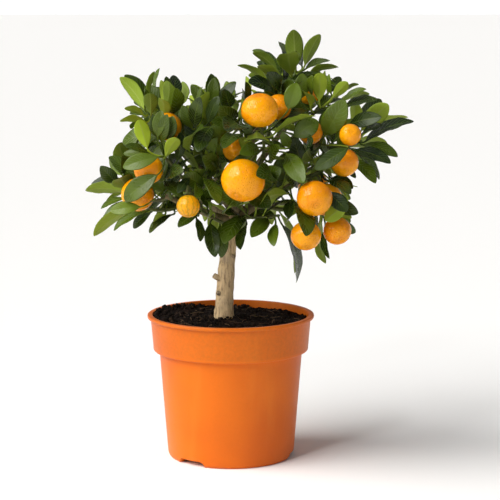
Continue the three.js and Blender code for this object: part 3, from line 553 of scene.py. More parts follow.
def leaf_body(skin, pose, sizes, rng, stalk_radius, newness):
    """One closed body: stalk, blade, midrib."""
    draw = {
        "crinkle": rng.uniform(0.03, 0.1), "waves": rng.uniform(1.5, 3.0), "phase": rng.random(),
        "fold": rng.uniform(0.75, 1.2), "other": rng.choice([-0.8, 0.7, 1.0]),
    }
    sections = leaf_sections(pose, stalk_radius, sizes)
    centres = [section[0] for section in sections]
    tangents = np.gradient(np.array(centres), axis=0)
    directions = [None] * len(sections)
    span = pose["span"]
    for k in range(len(sections) - 1, -1, -1):
        tangent = unit(tangents[k])
        span = unit(span - tangent * np.dot(span, tangent))
        face = np.cross(span, tangent)
        directions[k] = (span, face if k < PETIOLE_STEPS else unit(face))
    rings = [leaf_ring(s, d, sizes, draw) for s, d in zip(sections, directions)]
    sides = len(rings[0])
    points = [p for ring in rings[:-1] for p in ring]
    tip_at = len(points)
    points.append(sections[-1][0])
    count = len(rings) - 1
    faces = loft_faces(count, sides, True, False)
    faces += [((count - 1) * sides + k, (count - 1) * sides + (k + 1) % sides, tip_at) for k in range(sides)]
    top_sides = len(SIDES_ACROSS) - 1
    row = [UPPER_FACE] * top_sides + [UNDER_FACE] * (sides - top_sides)
    finishes = row * (count - 1) + [UNDER_FACE] + row
    across = list(SIDES_ACROSS) + list(SIDES_ACROSS[1:-1][::-1])
    tone = (0.0, newness, rng.random(), rng.random())
    notes = [(section[3], across[k], *tone) for section in sections[:-1] for k in range(sides)]
    notes.append((1.0, 0.0, *tone))
    points = place(points)
    skin.add(points, outward(points, faces), finishes, notes)


def tube_path(points, steps):
    return [place(bezier(points, k / steps)[0]) for k in range(steps + 1)]


def fruit_frame(name):
    centre, diameter, flatness, stalkway = FRUITS[name][:4]
    return np.array(centre, float), unit(np.array(stalkway, float)), diameter / 2, diameter / 2 * flatness


def add_stalk(skin, shoot, name, sizes, rng):
    """The green stalk and the star-shaped calyx that hold one fruit."""
    centre, to_stalk, _, polar = fruit_frame(name)
    seat = centre + to_stalk * (polar + SEAT_GAP)
    bend = seat + to_stalk * 5
    spots = [bezier(shoot["twig"], (k + 3) / 12)[0] for k in range(10)]
    end = min(spots, key=lambda p: np.linalg.norm(p - bend))
    path = tube_path((seat + to_stalk * 0.4, bend, end), 14)
    radii = [sizes.stalk / 2 * (1.35 - 0.35 * min(1, k / 3) + 0.12 * (k > 12)) for k in range(15)]
    tube(skin, path, radii, 10, TWIG, (0, 0, 0, 0, rng.random(), 0))
    _, aside, up = frames_along([seat, seat + to_stalk])[0]
    rows, lobes, sides = ((0.0, 0.92), (0.25, 1.0), (0.7, 0.78), (1.25, 0.42)), 5, 40
    rings = []
    for height, share in rows:
        for k in range(sides):
            turn = 2 * math.pi * k / sides
            lobe = 0.68 + 0.32 * abs(math.cos(lobes * turn / 2)) ** 1.5
            reach = sizes.calyx / MM / 2 * share * (lobe if height < 1 else 1)
            dip = -0.35 * (reach / (sizes.calyx / MM / 2)) ** 2 * (height < 1)
            rings.append(place(seat + to_stalk * (height + dip + 0.35) + ray(aside, up, turn) * reach))
    skin.add(rings, outward(rings, loft_faces(len(rows), sides)), CALYX, (0, 0, 0, 0.5, 0.5, 0))


def proxy(pose):
    """A coarse blade for finding what a leaf would touch."""
    points = []
    for along, share in ((0.0, 0.1), (0.25, 0.8), (0.5, 1.0), (0.8, 0.85), (1.0, 0.1)):
        centre = (pose["base"] + pose["along"] * pose["length"] * along
                  + pose["face"] * ARCH_SHARE * pose["length"] * 4 * along * (1 - along))
        half = pose["breadth"] / 2 * share + 0.3
        for side in (1, 0, -1):
            points.append(centre + pose["span"] * half * side
                          + pose["face"] * FOLD_SHARE * half * abs(side))
    faces = [(3 * r + c, 3 * r + c + 1, 3 * r + c + 4, 3 * r + c + 3) for r in range(4) for c in range(2)]
    stalk = len(points)
    points += [pose["root"] + (pose["base"] - pose["root"]) * 0.35, pose["base"],
               pose["base"] + pose["face"] * 0.4]
    faces.append((stalk, stalk + 1, stalk + 2))
    return np.array(points), faces


class Room:
    """What is already placed, for keeping new leaves clear of it."""

    def __init__(self):
        self.low, self.high, self.trees = [], [], []

    def take(self, points, faces):
        self.low.append(points.min(0))
        self.high.append(points.max(0))
        self.trees.append(BVHTree.FromPolygons(points.tolist(), faces))

    def free(self, points, faces):
        low, high = points.min(0), points.max(0)
        near = np.all((np.array(self.low) <= high) & (np.array(self.high) >= low), axis=1)
        tree = BVHTree.FromPolygons(points.tolist(), faces)
        return not any(tree.overlap(self.trees[i]) for i in np.flatnonzero(near))


def inner_pose(shoot, rng):
    """A leaf somewhere along a twig, reaching out and up from it."""
    along_twig = rng.uniform(0.12, 1.0)
    joint, _ = bezier(shoot["twig"], along_twig)
    out = unit(joint - np.array([0.0, 0.0, CROWN_HEART]))
    way = unit(rng.normal(size=3) * 0.75 + out * 0.55 + np.array([0, 0, 0.15]))
    length = rng.uniform(22, 36)
    base = joint + way * rng.uniform(5, 9) + np.array([0, 0, rng.uniform(0, 2)])
    droop = unit(way + np.array([0, 0, rng.uniform(-0.5, 0.1)]))
    tip = base + droop * length
    skyward = np.array([0, 0, 1.0]) + out * 0.45 + rng.normal(size=3) * 0.35
    face = unit(skyward - droop * np.dot(skyward, droop))
    return {"root": joint, "base": base, "tip": tip, "along": droop, "face": face,
            "span": np.cross(droop, face), "length": length, "breadth": length * rng.uniform(0.42, 0.52)}


def cover_pose(tip, base, breadth, side, shoots):
    """A leaf in front of a fruit, and the shoot whose twig is nearest to it."""
    tip, base = np.array(tip, float), np.array(base, float)
    joints = [(bezier(shoot["twig"], k / 12)[0], name)
              for name, shoot in shoots.items() for k in range(2, 13)]
    joint, name = min(joints, key=lambda row: np.linalg.norm(row[0] - base))
    along = unit(tip - base)
    facing = unit(np.array([0.12 * np.sign(tip[0]), -1.0, 0.35]))
    face = unit(facing - along * np.dot(facing, along)) * side
    length = np.linalg.norm(tip - base)
    return name, {"root": joint, "base": base, "tip": tip, "along": along, "face": face,
                  "span": np.cross(along, face), "length": length, "breadth": breadth}


def inside_crown(pose, share):
    """Whether a leaf keeps to this share of the crown and above its under side."""
    for spot in (pose["tip"], pose["base"] + (pose["tip"] - pose["base"]) * 0.5):
        across = (spot[0] - CROWN_MIDDLE) / SHELL[0]
        height = (spot[2] - SHELL_MIDDLE_Z) / SHELL[2]
        if across ** 2 + height ** 2 + (spot[1] / SHELL[1]) ** 2 > share:
            return False
        if spot[2] < CROWN_FLOOR[0] + CROWN_FLOOR[1] * abs(spot[0]):
            return False
    return True


def node_solid(name):
    """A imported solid's points, in millimetres from the pot's axis, and its faces."""
    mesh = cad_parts[name].data
    points = np.array([v.co for v in mesh.vertices]).reshape(-1, 3) / MM
    points -= np.array([POT_AXIS.x, POT_AXIS.y, 0]) / MM
    return points, [tuple(p.vertices) for p in mesh.polygons]


def plan_leaves(sizes, count):
    """The shoots, each one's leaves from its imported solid, and those added in front and between."""
    shoots = every_shoot()
    room = Room()
    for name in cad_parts:
        if name.startswith("fruit") or name == "trunk_and_branches":
            room.take(*node_solid(name))
    plan = {}
    for name, shoot in shoots.items():
        plan[name] = settled_poses(shoot, "shoot_" + name)
        for pose in plan[name]:
            room.take(*proxy(pose))
    extra = {name: [] for name in shoots}
    for tip, base, breadth, side, young in COVER_LEAVES:
        name, pose = cover_pose(tip, base, breadth, side, shoots)
        room.take(*proxy(pose))
        extra[name].append(dict(pose, young=young))
    rng = np.random.default_rng(FILL_SEED)
    for _ in range(count):
        for name, shoot in shoots.items():
            for _ in range(10):
                pose = inner_pose(shoot, rng)
                if not inside_crown(pose, sizes.fill_reach):
                    continue
                points, faces = proxy(pose)
                if room.free(points, faces):
                    room.take(points, faces)
                    extra[name].append(pose)
                    break
    return shoots, plan, extra


# ---- shader nodes ----
class Value:
    """A node's output. Arithmetic on it adds Math nodes."""

    def __init__(self, net, socket):
        self.net, self.socket = net, socket

    def math(self, operation, *others, **settings):
        inputs = dict(enumerate((self, *others)))
        return self.net.node("ShaderNodeMath", {"operation": operation, **settings}, inputs)

    def __add__(self, other):
        return self.math("ADD", other)

    __radd__ = __add__

    def __mul__(self, other):
        return self.math("MULTIPLY", other)

    __rmul__ = __mul__

    def __sub__(self, other):
        return self.math("SUBTRACT", other)

    def __rsub__(self, other):
        return self.net.node("ShaderNodeMath", {"operation": "SUBTRACT"}, {0: other, 1: self})

    def __truediv__(self, other):
        return self.math("DIVIDE", other)

    def __pow__(self, other):
        return self.math("POWER", other)

    def __abs__(self):
        return self.math("ABSOLUTE")

    def between(self, low, high):
        """0 below low, 1 above high, smooth between."""
        return self.net.node("ShaderNodeMapRange", {"interpolation_type": "SMOOTHSTEP"},
                             {"Value": self, "From Min": low, "From Max": high})

    def peak(self, width):
        """1 where the value is 0, falling to 0 at width."""
        return 1 - abs(self).between(0.0, width)


class Net:
    """A material's nodes."""

    def __init__(self, name):
        self.material = bpy.data.materials.new(PREFIX + name)
        self.material.use_nodes = True
        self.tree = self.material.node_tree
        self.tree.nodes.clear()

    def node(self, kind, settings=None, inputs=None, output=0):
        """A node of any type: its settings first, then each input's value or link."""
        made = self.tree.nodes.new(kind)
        for key, value in (settings or {}).items():
            setattr(made, key, value)
        for key, value in (inputs or {}).items():
            if isinstance(value, Value):
                self.tree.links.new(value.socket, made.inputs[key])
            else:
                made.inputs[key].default_value = value
        return Value(self, made.outputs[output])

    def mix(self, factor, first, second):
        """The first colour, turned into the second by the factor."""
        first, second = (c if isinstance(c, Value) else (*c, 1) for c in (first, second))
        return self.node("ShaderNodeMix", {"data_type": "RGBA"}, {0: factor, 6: first, 7: second}, 2)

    def place(self):
        return self.node("ShaderNodeTexCoord", output=3)

    def stretched(self, vector, scale):
        return self.node("ShaderNodeVectorMath", {"operation": "MULTIPLY"}, {0: vector, 1: scale})

    def noise(self, scale, detail=3.0, vector=None, roughness=0.5):
        return self.node("ShaderNodeTexNoise", {}, {"Vector": vector or self.place(), "Scale": scale,
                                                    "Detail": detail, "Roughness": roughness})

    def cells(self, scale, vector=None, feature="F1"):
        return self.node("ShaderNodeTexVoronoi", {"feature": feature},
                         {"Vector": vector or self.place(), "Scale": scale})

    def parts(self, name):
        """The three numbers of a note on the surface."""
        vector = self.node("ShaderNodeAttribute", {"attribute_name": name}, output=1)
        split = self.node("ShaderNodeSeparateXYZ", {}, {0: vector})
        outputs = split.socket.node.outputs
        return [Value(self, outputs[k]) for k in range(3)]

    def bump(self, height, strength, distance):
        return self.node("ShaderNodeBump", {}, {"Height": height, "Strength": strength,
                                                "Distance": distance})

    def surface(self, **sockets):
        inputs = {key.replace("_", " "): value for key, value in sockets.items()}
        shader = self.node("ShaderNodeBsdfPrincipled", {}, inputs)
        out = self.tree.nodes.new("ShaderNodeOutputMaterial")
        self.tree.links.new(shader.socket, out.inputs["Surface"])
        return self.material


# ---- finishes ----
def pot_plastic(net, look):
    broad = net.noise(14.0, 2.0)
    mottle = net.noise(420.0, 4.0, roughness=0.6)
    _, height, _ = net.parts("note")
    banded = height.between(POT_HEIGHT - BAND_HEIGHT - 1, POT_HEIGHT - BAND_HEIGHT + 1)
    streaks = net.noise(60.0, 3.0, net.stretched(net.place(), (1.0, 1.0, 0.12)))
    colour = net.mix(broad.between(0.35, 0.7), look.plastic, look.plastic_deep)
    brown = mottle.between(0.3, 0.75) * (0.06 + 0.2 * banded) + 0.16 * banded
    colour = net.mix(brown, colour, look.plastic_brown)
    colour = net.mix(streaks.between(0.55, 0.8) * 0.16, colour, look.plastic_pale)
    dust = net.noise(900.0, 2.0).between(0.66, 0.8)
    colour = net.mix(dust * 0.2, colour, look.plastic_brown)
    grain = net.noise(1400.0, 3.0)
    rough = 0.34 + 0.12 * mottle + 0.1 * dust
    height = grain * 0.4 + broad * 0.9 + net.noise(220.0, 2.0) * 0.5
    return dict(Base_Color=colour, Roughness=rough, Specular_IOR_Level=0.22,
                Normal=net.bump(height, 0.22, 0.0004))


def peat(net, look):
    _, _, tint = net.parts("note")
    broad = net.noise(90.0, 4.0)
    fine = net.noise(900.0, 5.0, roughness=0.7)
    colour = net.mix(fine.between(0.3, 0.75), look.peat_dark, look.peat_brown)
    colour = net.mix(broad.between(0.5, 0.75) * 0.5, colour, look.peat_red)
    colour = net.mix(tint.between(0.75, 1.0) * 0.7, colour, look.peat_pale)
    return dict(Base_Color=colour, Roughness=0.9 - 0.15 * fine, Specular_IOR_Level=0.12,
                Normal=net.bump(fine + broad, 0.9, 0.0012))


def fibre(net, look):
    _, _, tint = net.parts("note")
    colour = net.mix(tint, look.fibre_dark, look.fibre_pale)
    return dict(Base_Color=colour, Roughness=0.8, Normal=net.bump(net.noise(1500.0), 0.5, 0.0003))


def bark(net, look):
    _, _, young = net.parts("note")
    long_way = net.stretched(net.place(), (1.0, 1.0, 0.16))
    fissures = net.noise(620.0, 6.0, long_way, 0.65)
    plates = net.cells(260.0, long_way, "DISTANCE_TO_EDGE")
    patches = net.noise(75.0, 3.0)
    spots = net.cells(330.0).between(0.16, 0.3)
    colour = net.mix(fissures.between(0.3, 0.56), look.bark_dark, look.bark_pale)
    colour = net.mix(patches.between(0.45, 0.7) * 0.55, colour, look.bark_grey)
    colour = net.mix((1 - spots) * 0.28, colour, look.bark_dark)
    colour = net.mix(young.between(0.2, 1.0) * 0.75, colour, look.bark_green)
    height = fissures * 1.2 + plates.between(0.0, 0.12) * 0.5 + patches * 0.4
    return dict(Base_Color=colour, Roughness=0.86 - 0.12 * patches, Specular_IOR_Level=0.3,
                Normal=net.bump(height, 0.55, 0.001))


def cut_wood(net, look):
    rings = net.noise(500.0, 3.0)
    colour = net.mix(rings, look.bark_dark, look.bark_grey)
    return dict(Base_Color=colour, Roughness=0.9, Normal=net.bump(rings, 0.4, 0.0004))


def veins(net, along, across):
    """Side veins that leave the midrib forwards, and a finer net between them."""
    slant = along * 9.0 - abs(across) * 2.4
    wobble = net.noise(160.0, 2.0) * 0.5
    comb = (slant + wobble).math("PINGPONG", 0.5)
    side = comb.peak(0.12) * (1 - abs(across).between(0.75, 1.0))
    mesh = 1 - net.cells(900.0, feature="DISTANCE_TO_EDGE").between(0.0, 0.08)
    return side, mesh


def leaf_upper(net, look):
    along, across, _ = net.parts("note")
    newness, shade, tint = net.parts("tone")
    side, mesh = veins(net, along, across)
    cloud = net.noise(70.0, 3.0)
    colour = net.mix(shade, look.leaf_dark, look.leaf_green)
    colour = net.mix(cloud.between(0.4, 0.7) * 0.35, colour, look.leaf_green)
    colour = net.mix(tint * 0.55, colour, look.leaf_blue)
    colour = net.mix(newness, colour, look.leaf_new)
    midrib = across.peak(0.09) * (1 - along.between(0.6, 1.0))
    colour = net.mix(midrib * 0.55 + side * 0.16, colour, look.leaf_vein)
    rim = abs(across).between(0.93, 1.0)
    colour = net.mix(rim * 0.35, colour, look.leaf_vein)
    glands = 1 - net.cells(1500.0).between(0.0, 0.35)
    height = 0.25 * cloud - 0.9 * side - 0.25 * mesh + 0.12 * glands
    rough = 0.2 + 0.14 * cloud + 0.08 * side
    return dict(Base_Color=colour, Roughness=rough, Specular_IOR_Level=0.34,
                Normal=net.bump(height, 0.3, 0.0004))


def leaf_under(net, look):
    along, across, _ = net.parts("note")
    newness, shade, _ = net.parts("tone")
    side, mesh = veins(net, along, across)
    cloud = net.noise(80.0, 3.0)
    colour = net.mix(shade, look.under_deep, look.under_pale)
    colour = net.mix(cloud.between(0.35, 0.7) * 0.4, colour, look.under_mid)
    colour = net.mix(newness * 0.8, colour, look.leaf_new)
    colour = net.mix(side * 0.3 + mesh * 0.12, colour, look.under_vein)
    midrib = across.peak(0.14)
    colour = net.mix(midrib * 0.6, colour, look.under_vein)
    height = 0.2 * cloud + 0.9 * side + 0.3 * mesh
    return dict(Base_Color=colour, Roughness=0.5 + 0.14 * cloud, Specular_IOR_Level=0.25,
                Normal=net.bump(height, 0.3, 0.0004))


def green_twig(net, look):
    _, shade, _ = net.parts("tone")
    lines = net.noise(700.0, 3.0, net.stretched(net.place(), (1.0, 1.0, 0.3)))
    colour = net.mix(shade * 0.7, look.twig_green, look.twig_brown)
    colour = net.mix(lines.between(0.45, 0.7) * 0.4, colour, look.twig_pale)
    return dict(Base_Color=colour, Roughness=0.55, Normal=net.bump(lines, 0.5, 0.0004))


def calyx_green(net, look):
    grain = net.noise(900.0, 3.0)
    colour = net.mix(grain.between(0.4, 0.7), look.twig_green, look.twig_brown)
    return dict(Base_Color=colour, Roughness=0.65, Normal=net.bump(grain, 0.5, 0.0003))


def peel(net, look, stripes):
    """Citrus peel, with oil glands as fine pits, yellower at the stalk and browner at the eye."""
    turn, down, _ = net.parts("note")
    broad = net.noise(45.0, 3.0)
    pores = net.cells(850.0)
    pits = 1 - pores.between(0.05, 0.4)
    if stripes:
        bands = (turn * 24 + net.noise(420.0, 3.0) * 2.2).math("PINGPONG", 1.0)
        green = bands.between(0.4, 0.95) * 0.42
        colour = net.mix(0.6, look.peel_yellow, look.peel)
        colour = net.mix(green, colour, look.peel_green)
        colour = net.mix(down.between(0.35, 0.0), colour, look.peel_green)
    else:
        colour = net.mix(broad.between(0.35, 0.7), look.peel, look.peel_deep)
        colour = net.mix(down.between(0.12, 0.0) * 0.5, colour, look.peel_yellow)
    colour = net.mix(pits * 0.3, colour, look.peel_pit)
    ring = down.between(0.925, 0.95) * down.between(0.98, 0.955) * 0.2
    colour = net.mix(ring + down.between(0.982, 0.998) * 0.55, colour, look.peel_eye)
    height = broad * 0.4 - pits * 1.2 + net.noise(380.0, 2.0) * 0.6
    return dict(Base_Color=colour, Roughness=0.17 + 0.07 * broad, Specular_IOR_Level=0.3,
                Subsurface_Weight=0.05, Subsurface_Scale=0.002,
                Normal=net.bump(height, 0.55, 0.0006))


def ripe_peel(net, look):
    return peel(net, look, False)


def unripe_peel(net, look):
    return peel(net, look, True)


def finish(shader, look):
    """The material of one of these finishes, made once."""
    name = shader.__name__
    made = bpy.data.materials.get(PREFIX + name)
    if not made:
        net = Net(name)
        made = net.surface(**shader(net, look))
    return made


def settle(piece, node):
    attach(piece, "root")
    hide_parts(node)


# ---- the pot's mesh ----
def quarter_round(centre, radius, start, end, steps=5):
    """Radius and height along an arc, from one angle to another in degrees."""
    turns = [math.radians(start + (end - start) * k / steps) for k in range(steps + 1)]
    return [(centre[0] + across, centre[1] + up) for across, up in (on_circle(radius, t) for t in turns)]


def straight(start, end, steps):
    return [(start[0] + (end[0] - start[0]) * k / steps, start[1] + (end[1] - start[1]) * k / steps)
            for k in range(1, steps)]


def pot_profile():
    """Radius and height from under the floor, up the outside, over the lip and down inside."""
    foot, top = FOOT_RADIUS - FOOT_WIDTH, POT_HEIGHT
    band = top - BAND_HEIGHT
    under = [(radius, FLOOR_HEIGHT) for radius in FLOOR_RADII]
    sole = [(foot - 0.7, FLOOR_HEIGHT), (foot - 0.1, FLOOR_HEIGHT - 0.6), (foot + 0.1, 0.6),
            (foot + 0.7, 0.0), (FOOT_RADIUS - 2.5, 0.0)]
    heel = [(FOOT_RADIUS - 2.5 + 2.5 * math.sin(t), 5 - 5 * math.cos(t))
            for t in (0.25, 0.5, 0.75, 1.0, 1.25, math.pi / 2)]
    outside = straight((FOOT_RADIUS, 5), (BODY_TOP, band - 2.6), 14)
    shelf = quarter_round((BODY_TOP + 0.6, band - 2.6), 0.6, 180, 90, 3)
    band_foot = quarter_round((BAND_BOTTOM - 1.2, band - 0.8), 1.2, -90, -5, 5)
    face = straight((BAND_BOTTOM, band), (BAND_TOP, top - 3.4), 6)
    neck = quarter_round((BAND_TOP + 0.9, top - 3.4), 0.9, 180, 100, 3)
    bead = (quarter_round((LIP_RADIUS - 0.7, top - 1.9), 0.7, -90, 0, 4)
            + quarter_round((LIP_RADIUS - 0.8, top - 0.8), 0.8, 0, 90, 4))
    inner = quarter_round((BAND_TOP - WALL + 0.5, top - 0.5), 0.5, 90, 180, 3)
    inside = (straight((BAND_TOP - WALL, top - 0.5), (BAND_BOTTOM - WALL, band + WALL), 6)
              + quarter_round((BAND_BOTTOM - WALL - 0.8, band + WALL + 0.8), 0.8, 0, -90, 3)
              + quarter_round((BODY_TOP - WALL + 0.6, band + WALL - 0.6), 0.6, 90, 180, 3)
              + straight((BODY_TOP - WALL, band + 0.9), (FOOT_RADIUS - WALL, FLOOR_HEIGHT + WALL + 1), 8))
    corner = [(FOOT_RADIUS - WALL - 0.2, FLOOR_HEIGHT + WALL + 0.4),
              (FOOT_RADIUS - WALL - 1, FLOOR_HEIGHT + WALL)]
    floor = [(radius, FLOOR_HEIGHT + WALL) for radius in reversed(FLOOR_RADII)]
    return (under + sole + heel + outside + shelf + band_foot + face + neck + bead + inner + inside
            + corner + floor)


def notch_lift(degrees):
    """How far a notch raises the foot at this angle."""
    gaps = [abs((degrees - angle + 180) % 360 - 180) for angle in NOTCH_ANGLES]
    inside = (NOTCH_SPAN / 2 + 0.6 - min(gaps)) / 2.2
    return NOTCH_HEIGHT * max(0.0, min(1.0, inside))


def pot_mesh(skin, segments):
    profile = pot_profile()
    columns = [k * 360 / segments for k in range(segments)]
    holes = [round(angle * segments / 360) % segments for angle in NOTCH_ANGLES]
    first, last = FLOOR_RADII.index(HOLE_ROWS[0]), FLOOR_RADII.index(HOLE_ROWS[1])
    rows = len(profile)
    block = {(row, (hole + k) % segments): hole for hole in holes for row in range(first, last + 1)
             for k in range(-HOLE_HALF, HOLE_HALF + 1)}
    points = []
    for index, (radius, height) in enumerate(profile):
        mirror = index if index < len(FLOOR_RADII) else rows - 1 - index
        for column, degrees in enumerate(columns):
            z = height
            if radius > FOOT_RADIUS - FOOT_WIDTH - 0.5 and height < NOTCH_HEIGHT and index < rows / 2:
                z = max(height, notch_lift(degrees))
            turn = math.radians(degrees)
            spot = np.array([radius * math.sin(turn), -radius * math.cos(turn), z])
            hole = block.get((mirror, column))
            sides = (HOLE_HALF, segments - HOLE_HALF)
            if hole is not None and (mirror in (first, last) or (column - hole) % segments in sides):
                aim = math.radians(columns[hole])
                middle = np.array([HOLE_AT * math.sin(aim), -HOLE_AT * math.cos(aim), z])
                spot = middle + unit(spot - middle) * HOLE_RADIUS
            points.append(spot)
    faces = []

    def cut(row, column):
        mirror = row if row < len(FLOOR_RADII) else rows - 2 - row
        return first <= mirror < last and any(
            (column - hole + HOLE_HALF) % segments < 2 * HOLE_HALF for hole in holes)

    for row in range(rows - 1):
        for column in range(segments):
            if not cut(row, column):
                nxt = (column + 1) % segments
                faces.append((row * segments + column, row * segments + nxt,
                              (row + 1) * segments + nxt, (row + 1) * segments + column))
    for hole in holes:
        half = HOLE_HALF
        ring = ([(first, k) for k in range(-half, half)] + [(row, half) for row in range(first, last)]
                + [(last, k) for k in range(half, -half, -1)]
                + [(row, -half) for row in range(last, first, -1)])
        for (row, k), (next_row, next_k) in zip(ring, ring[1:] + ring[:1]):
            a, b = row * segments + (hole + k) % segments, next_row * segments + (hole + next_k) % segments
            c = (rows - 1 - next_row) * segments + (hole + next_k) % segments
            d = (rows - 1 - row) * segments + (hole + k) % segments
            faces.append((a, d, c, b))
    for row, step in ((0, -1), (rows - 1, 1)):
        centre = len(points)
        points.append(np.array([0, 0, profile[row][1]]))
        for column in range(segments):
            pair = (row * segments + column, row * segments + (column + 1) % segments)
            faces.append((*pair[::step], centre))
    turns = [(k / segments, z, 0, 0, 0, 0) for _, z in profile for k in range(segments)]
    skin.add(place(points), faces, notes=turns + [(0, 0, 0, 0, 0, 0)] * 2)


# ---- the soil's mesh ----
def soil_height(x, y):
    out = math.hypot(x, y) / BAND_TOP
    heap = SOIL_HEAP * max(0, -x / BAND_TOP) * out
    collar = 3 * math.exp(-((x - TRUNK_X) ** 2 + y ** 2) / 180)
    ripple = 0.8 * math.sin(x / 6.5 + 1) * math.cos(y / 7.5)
    return POT_HEIGHT - SOIL_BELOW_LIP + heap + collar + ripple


def lump(rng):
    """An irregular small crumb, about one unit across."""
    points = CRUMB_POINTS * rng.uniform(0.6, 1.15, 3) + rng.normal(size=CRUMB_POINTS.shape) * 0.09
    turn = Vector(rng.normal(size=3)).to_track_quat("Z", "Y").to_matrix()
    return points @ np.array(turn)


def crumb_shape():
    shape = bmesh.new()
    bmesh.ops.create_icosphere(shape, subdivisions=1, radius=0.5)
    points = np.array([v.co for v in shape.verts])
    faces = [tuple(v.index for v in f.verts) for f in shape.faces]
    shape.free()
    return points, faces


CRUMB_POINTS, CRUMB_FACES = crumb_shape()


def soil_mesh(skin, look):
    rings, sides = 46, 150
    rim = BAND_TOP - WALL - 0.5
    points = []
    for ring in range(rings + 1):
        radius = rim * (1 - (ring / rings) ** 1.15) if ring else rim
        for k in range(sides):
            turn = 2 * math.pi * (k + 0.5 * (ring % 2)) / sides
            x, y = on_circle(radius, turn)
            rough = 1.7 * noise.noise((x / 7, y / 7, 3)) + 1.0 * noise.noise((x / 2.6, y / 2.6, 8))
            points.append((x, y, soil_height(x, y) + rough))
    below = [[rim - 0.4, 101.0], [BAND_BOTTOM - WALL - 0.5, POT_HEIGHT - BAND_HEIGHT + WALL + 0.6],
             [BODY_TOP - WALL - 0.4, POT_HEIGHT - BAND_HEIGHT + WALL + 0.6], [FOOT_RADIUS - WALL - 1.2, 7.0]]
    side = [(*on_circle(r, 2 * math.pi * k / sides), z) for r, z in reversed(below) for k in range(sides)]
    points = side + points
    faces = outward(np.array(points), loft_faces(len(below) + rings + 1, sides))
    skin.add(place(points), faces, notes=(0, 0, 0.3, 0, 0, 0))
    rng = np.random.default_rng(SOIL_SEED)
    for _ in range(look.crumbs):
        radius, turn = (rim - 1) * math.sqrt(rng.random()), rng.random() * 2 * math.pi
        x, y = on_circle(radius, turn)
        if math.hypot(x - TRUNK_X, y) < 7.5:
            continue
        size = min(5.2, 0.9 + rng.exponential(1.15))
        size = min(size, 2 * (rim - radius) + 1.2)
        tint = rng.random()
        body = lump(rng) * size * (1, 1, 0.8) + (x, y, soil_height(x, y) + size * rng.uniform(0.02, 0.3))
        skin.add(place(body), CRUMB_FACES, notes=(0, 0, tint, 0, 0, 0))
    for _ in range(look.rim_crumbs):
        turn, out = math.radians(rng.normal(150, 50)), rng.exponential(2.2)
        size = min(4.5, 0.8 + rng.exponential(1.1))
        radius = rim - 0.5 * size - out
        x, y = on_circle(radius, turn)
        low, heap = soil_height(x, y), math.exp(-((turn - 2.8) / 0.8) ** 2 - out / 5)
        top = low + (POT_HEIGHT + 0.8 - low) * rng.random() * heap
        body = lump(rng) * size + (x, y, top)
        skin.add(place(body), CRUMB_FACES, notes=(0, 0, 0.3, 0, 0, 0))
    for _ in range(look.fibres):
        radius, turn = (rim - 6) * math.sqrt(rng.random()), rng.random() * 2 * math.pi
        start = np.array([*on_circle(radius, turn), 0.0])
        way = unit(np.array([*rng.normal(size=2), rng.normal() * 0.12]))
        length, bow = min(12, 2.5 + rng.exponential(3.5)), rng.normal(size=3) * (1.3, 1.3, 0.9)
        path = []
        for k in range(9):
            spot = start + way * length * (k / 8 - 0.5) + bow * math.sin(math.pi * k / 8)
            reach = math.hypot(spot[0], spot[1])
            if reach > rim - 1.5:
                spot[:2] *= (rim - 1.5) / reach
            spot[2] = soil_height(spot[0], spot[1]) + 1.5 + 1.1 * bow[2] * math.sin(math.pi * k / 8)
            path.append(place(spot))
        thick = rng.uniform(0.08, 0.22) * MM
        radii = [thick * (1 - 0.5 * k / 8) for k in range(9)]
        tube(skin, path, radii, 6, 1, (0, 0, rng.random(), 0, 0, 0))


# ---- the wood's mesh ----
def wood_mesh(skin, look):
    deep = look.furrow / MM
    for index, (bends, (start, end)) in enumerate(LIMBS):
        trunk = index == 0
        steps, sides = (72, 56) if trunk else (30, 22)
        path = tube_path(bends, steps)
        radii = []
        for k in range(steps + 1):
            along = k / steps
            radius = start + (end - start) * along
            if trunk:
                height = path[k][2] / MM
                radius += 0.7 * hill(height - POT_HEIGHT + 3, 6)
                radius += 0.5 * math.sin(height / 5.2) * noise.noise((height / 9, 2, 5))
            radii.append(radius * MM)

        def rough(point, trunk=trunk, seed=index):
            x, y, z = point / MM
            furrow = noise.noise((x / 2.1, y / 2.1, z / 9 + seed)) + 0.6 * noise.noise((x, y, z / 4))
            knob = noise.noise((x / 5, y / 5, z / 6 + 9))
            return (deep * furrow + 0.7 * knob * (1.0 if trunk else 0.35)) * (1.0 if trunk else 0.4) * MM

        young = 0.0 if index < 2 else 0.85
        tube(skin, path, radii, sides, 0, (0, 0, young, 0, 0, 0), rough)
    end, direction = bezier(LIMBS[1][0], 1.0)
    path = [place(end + direction * out) for out in (-1.5, 0.3, 0.5)]
    tube(skin, path, [radius * MM for radius in (2.0, 1.9, 1.1)], 18, 1)
    for at, way, size in SCARS:
        at, way = np.array(at, float), unit(np.array(way, float))
        path = [place(at + way * out) for out in (-2, 0.6, 0.9, 0.5)]
        tube(skin, path, [size * share * MM for share in (1.35, 1.1, 0.8, 0.35)], 18, 1)


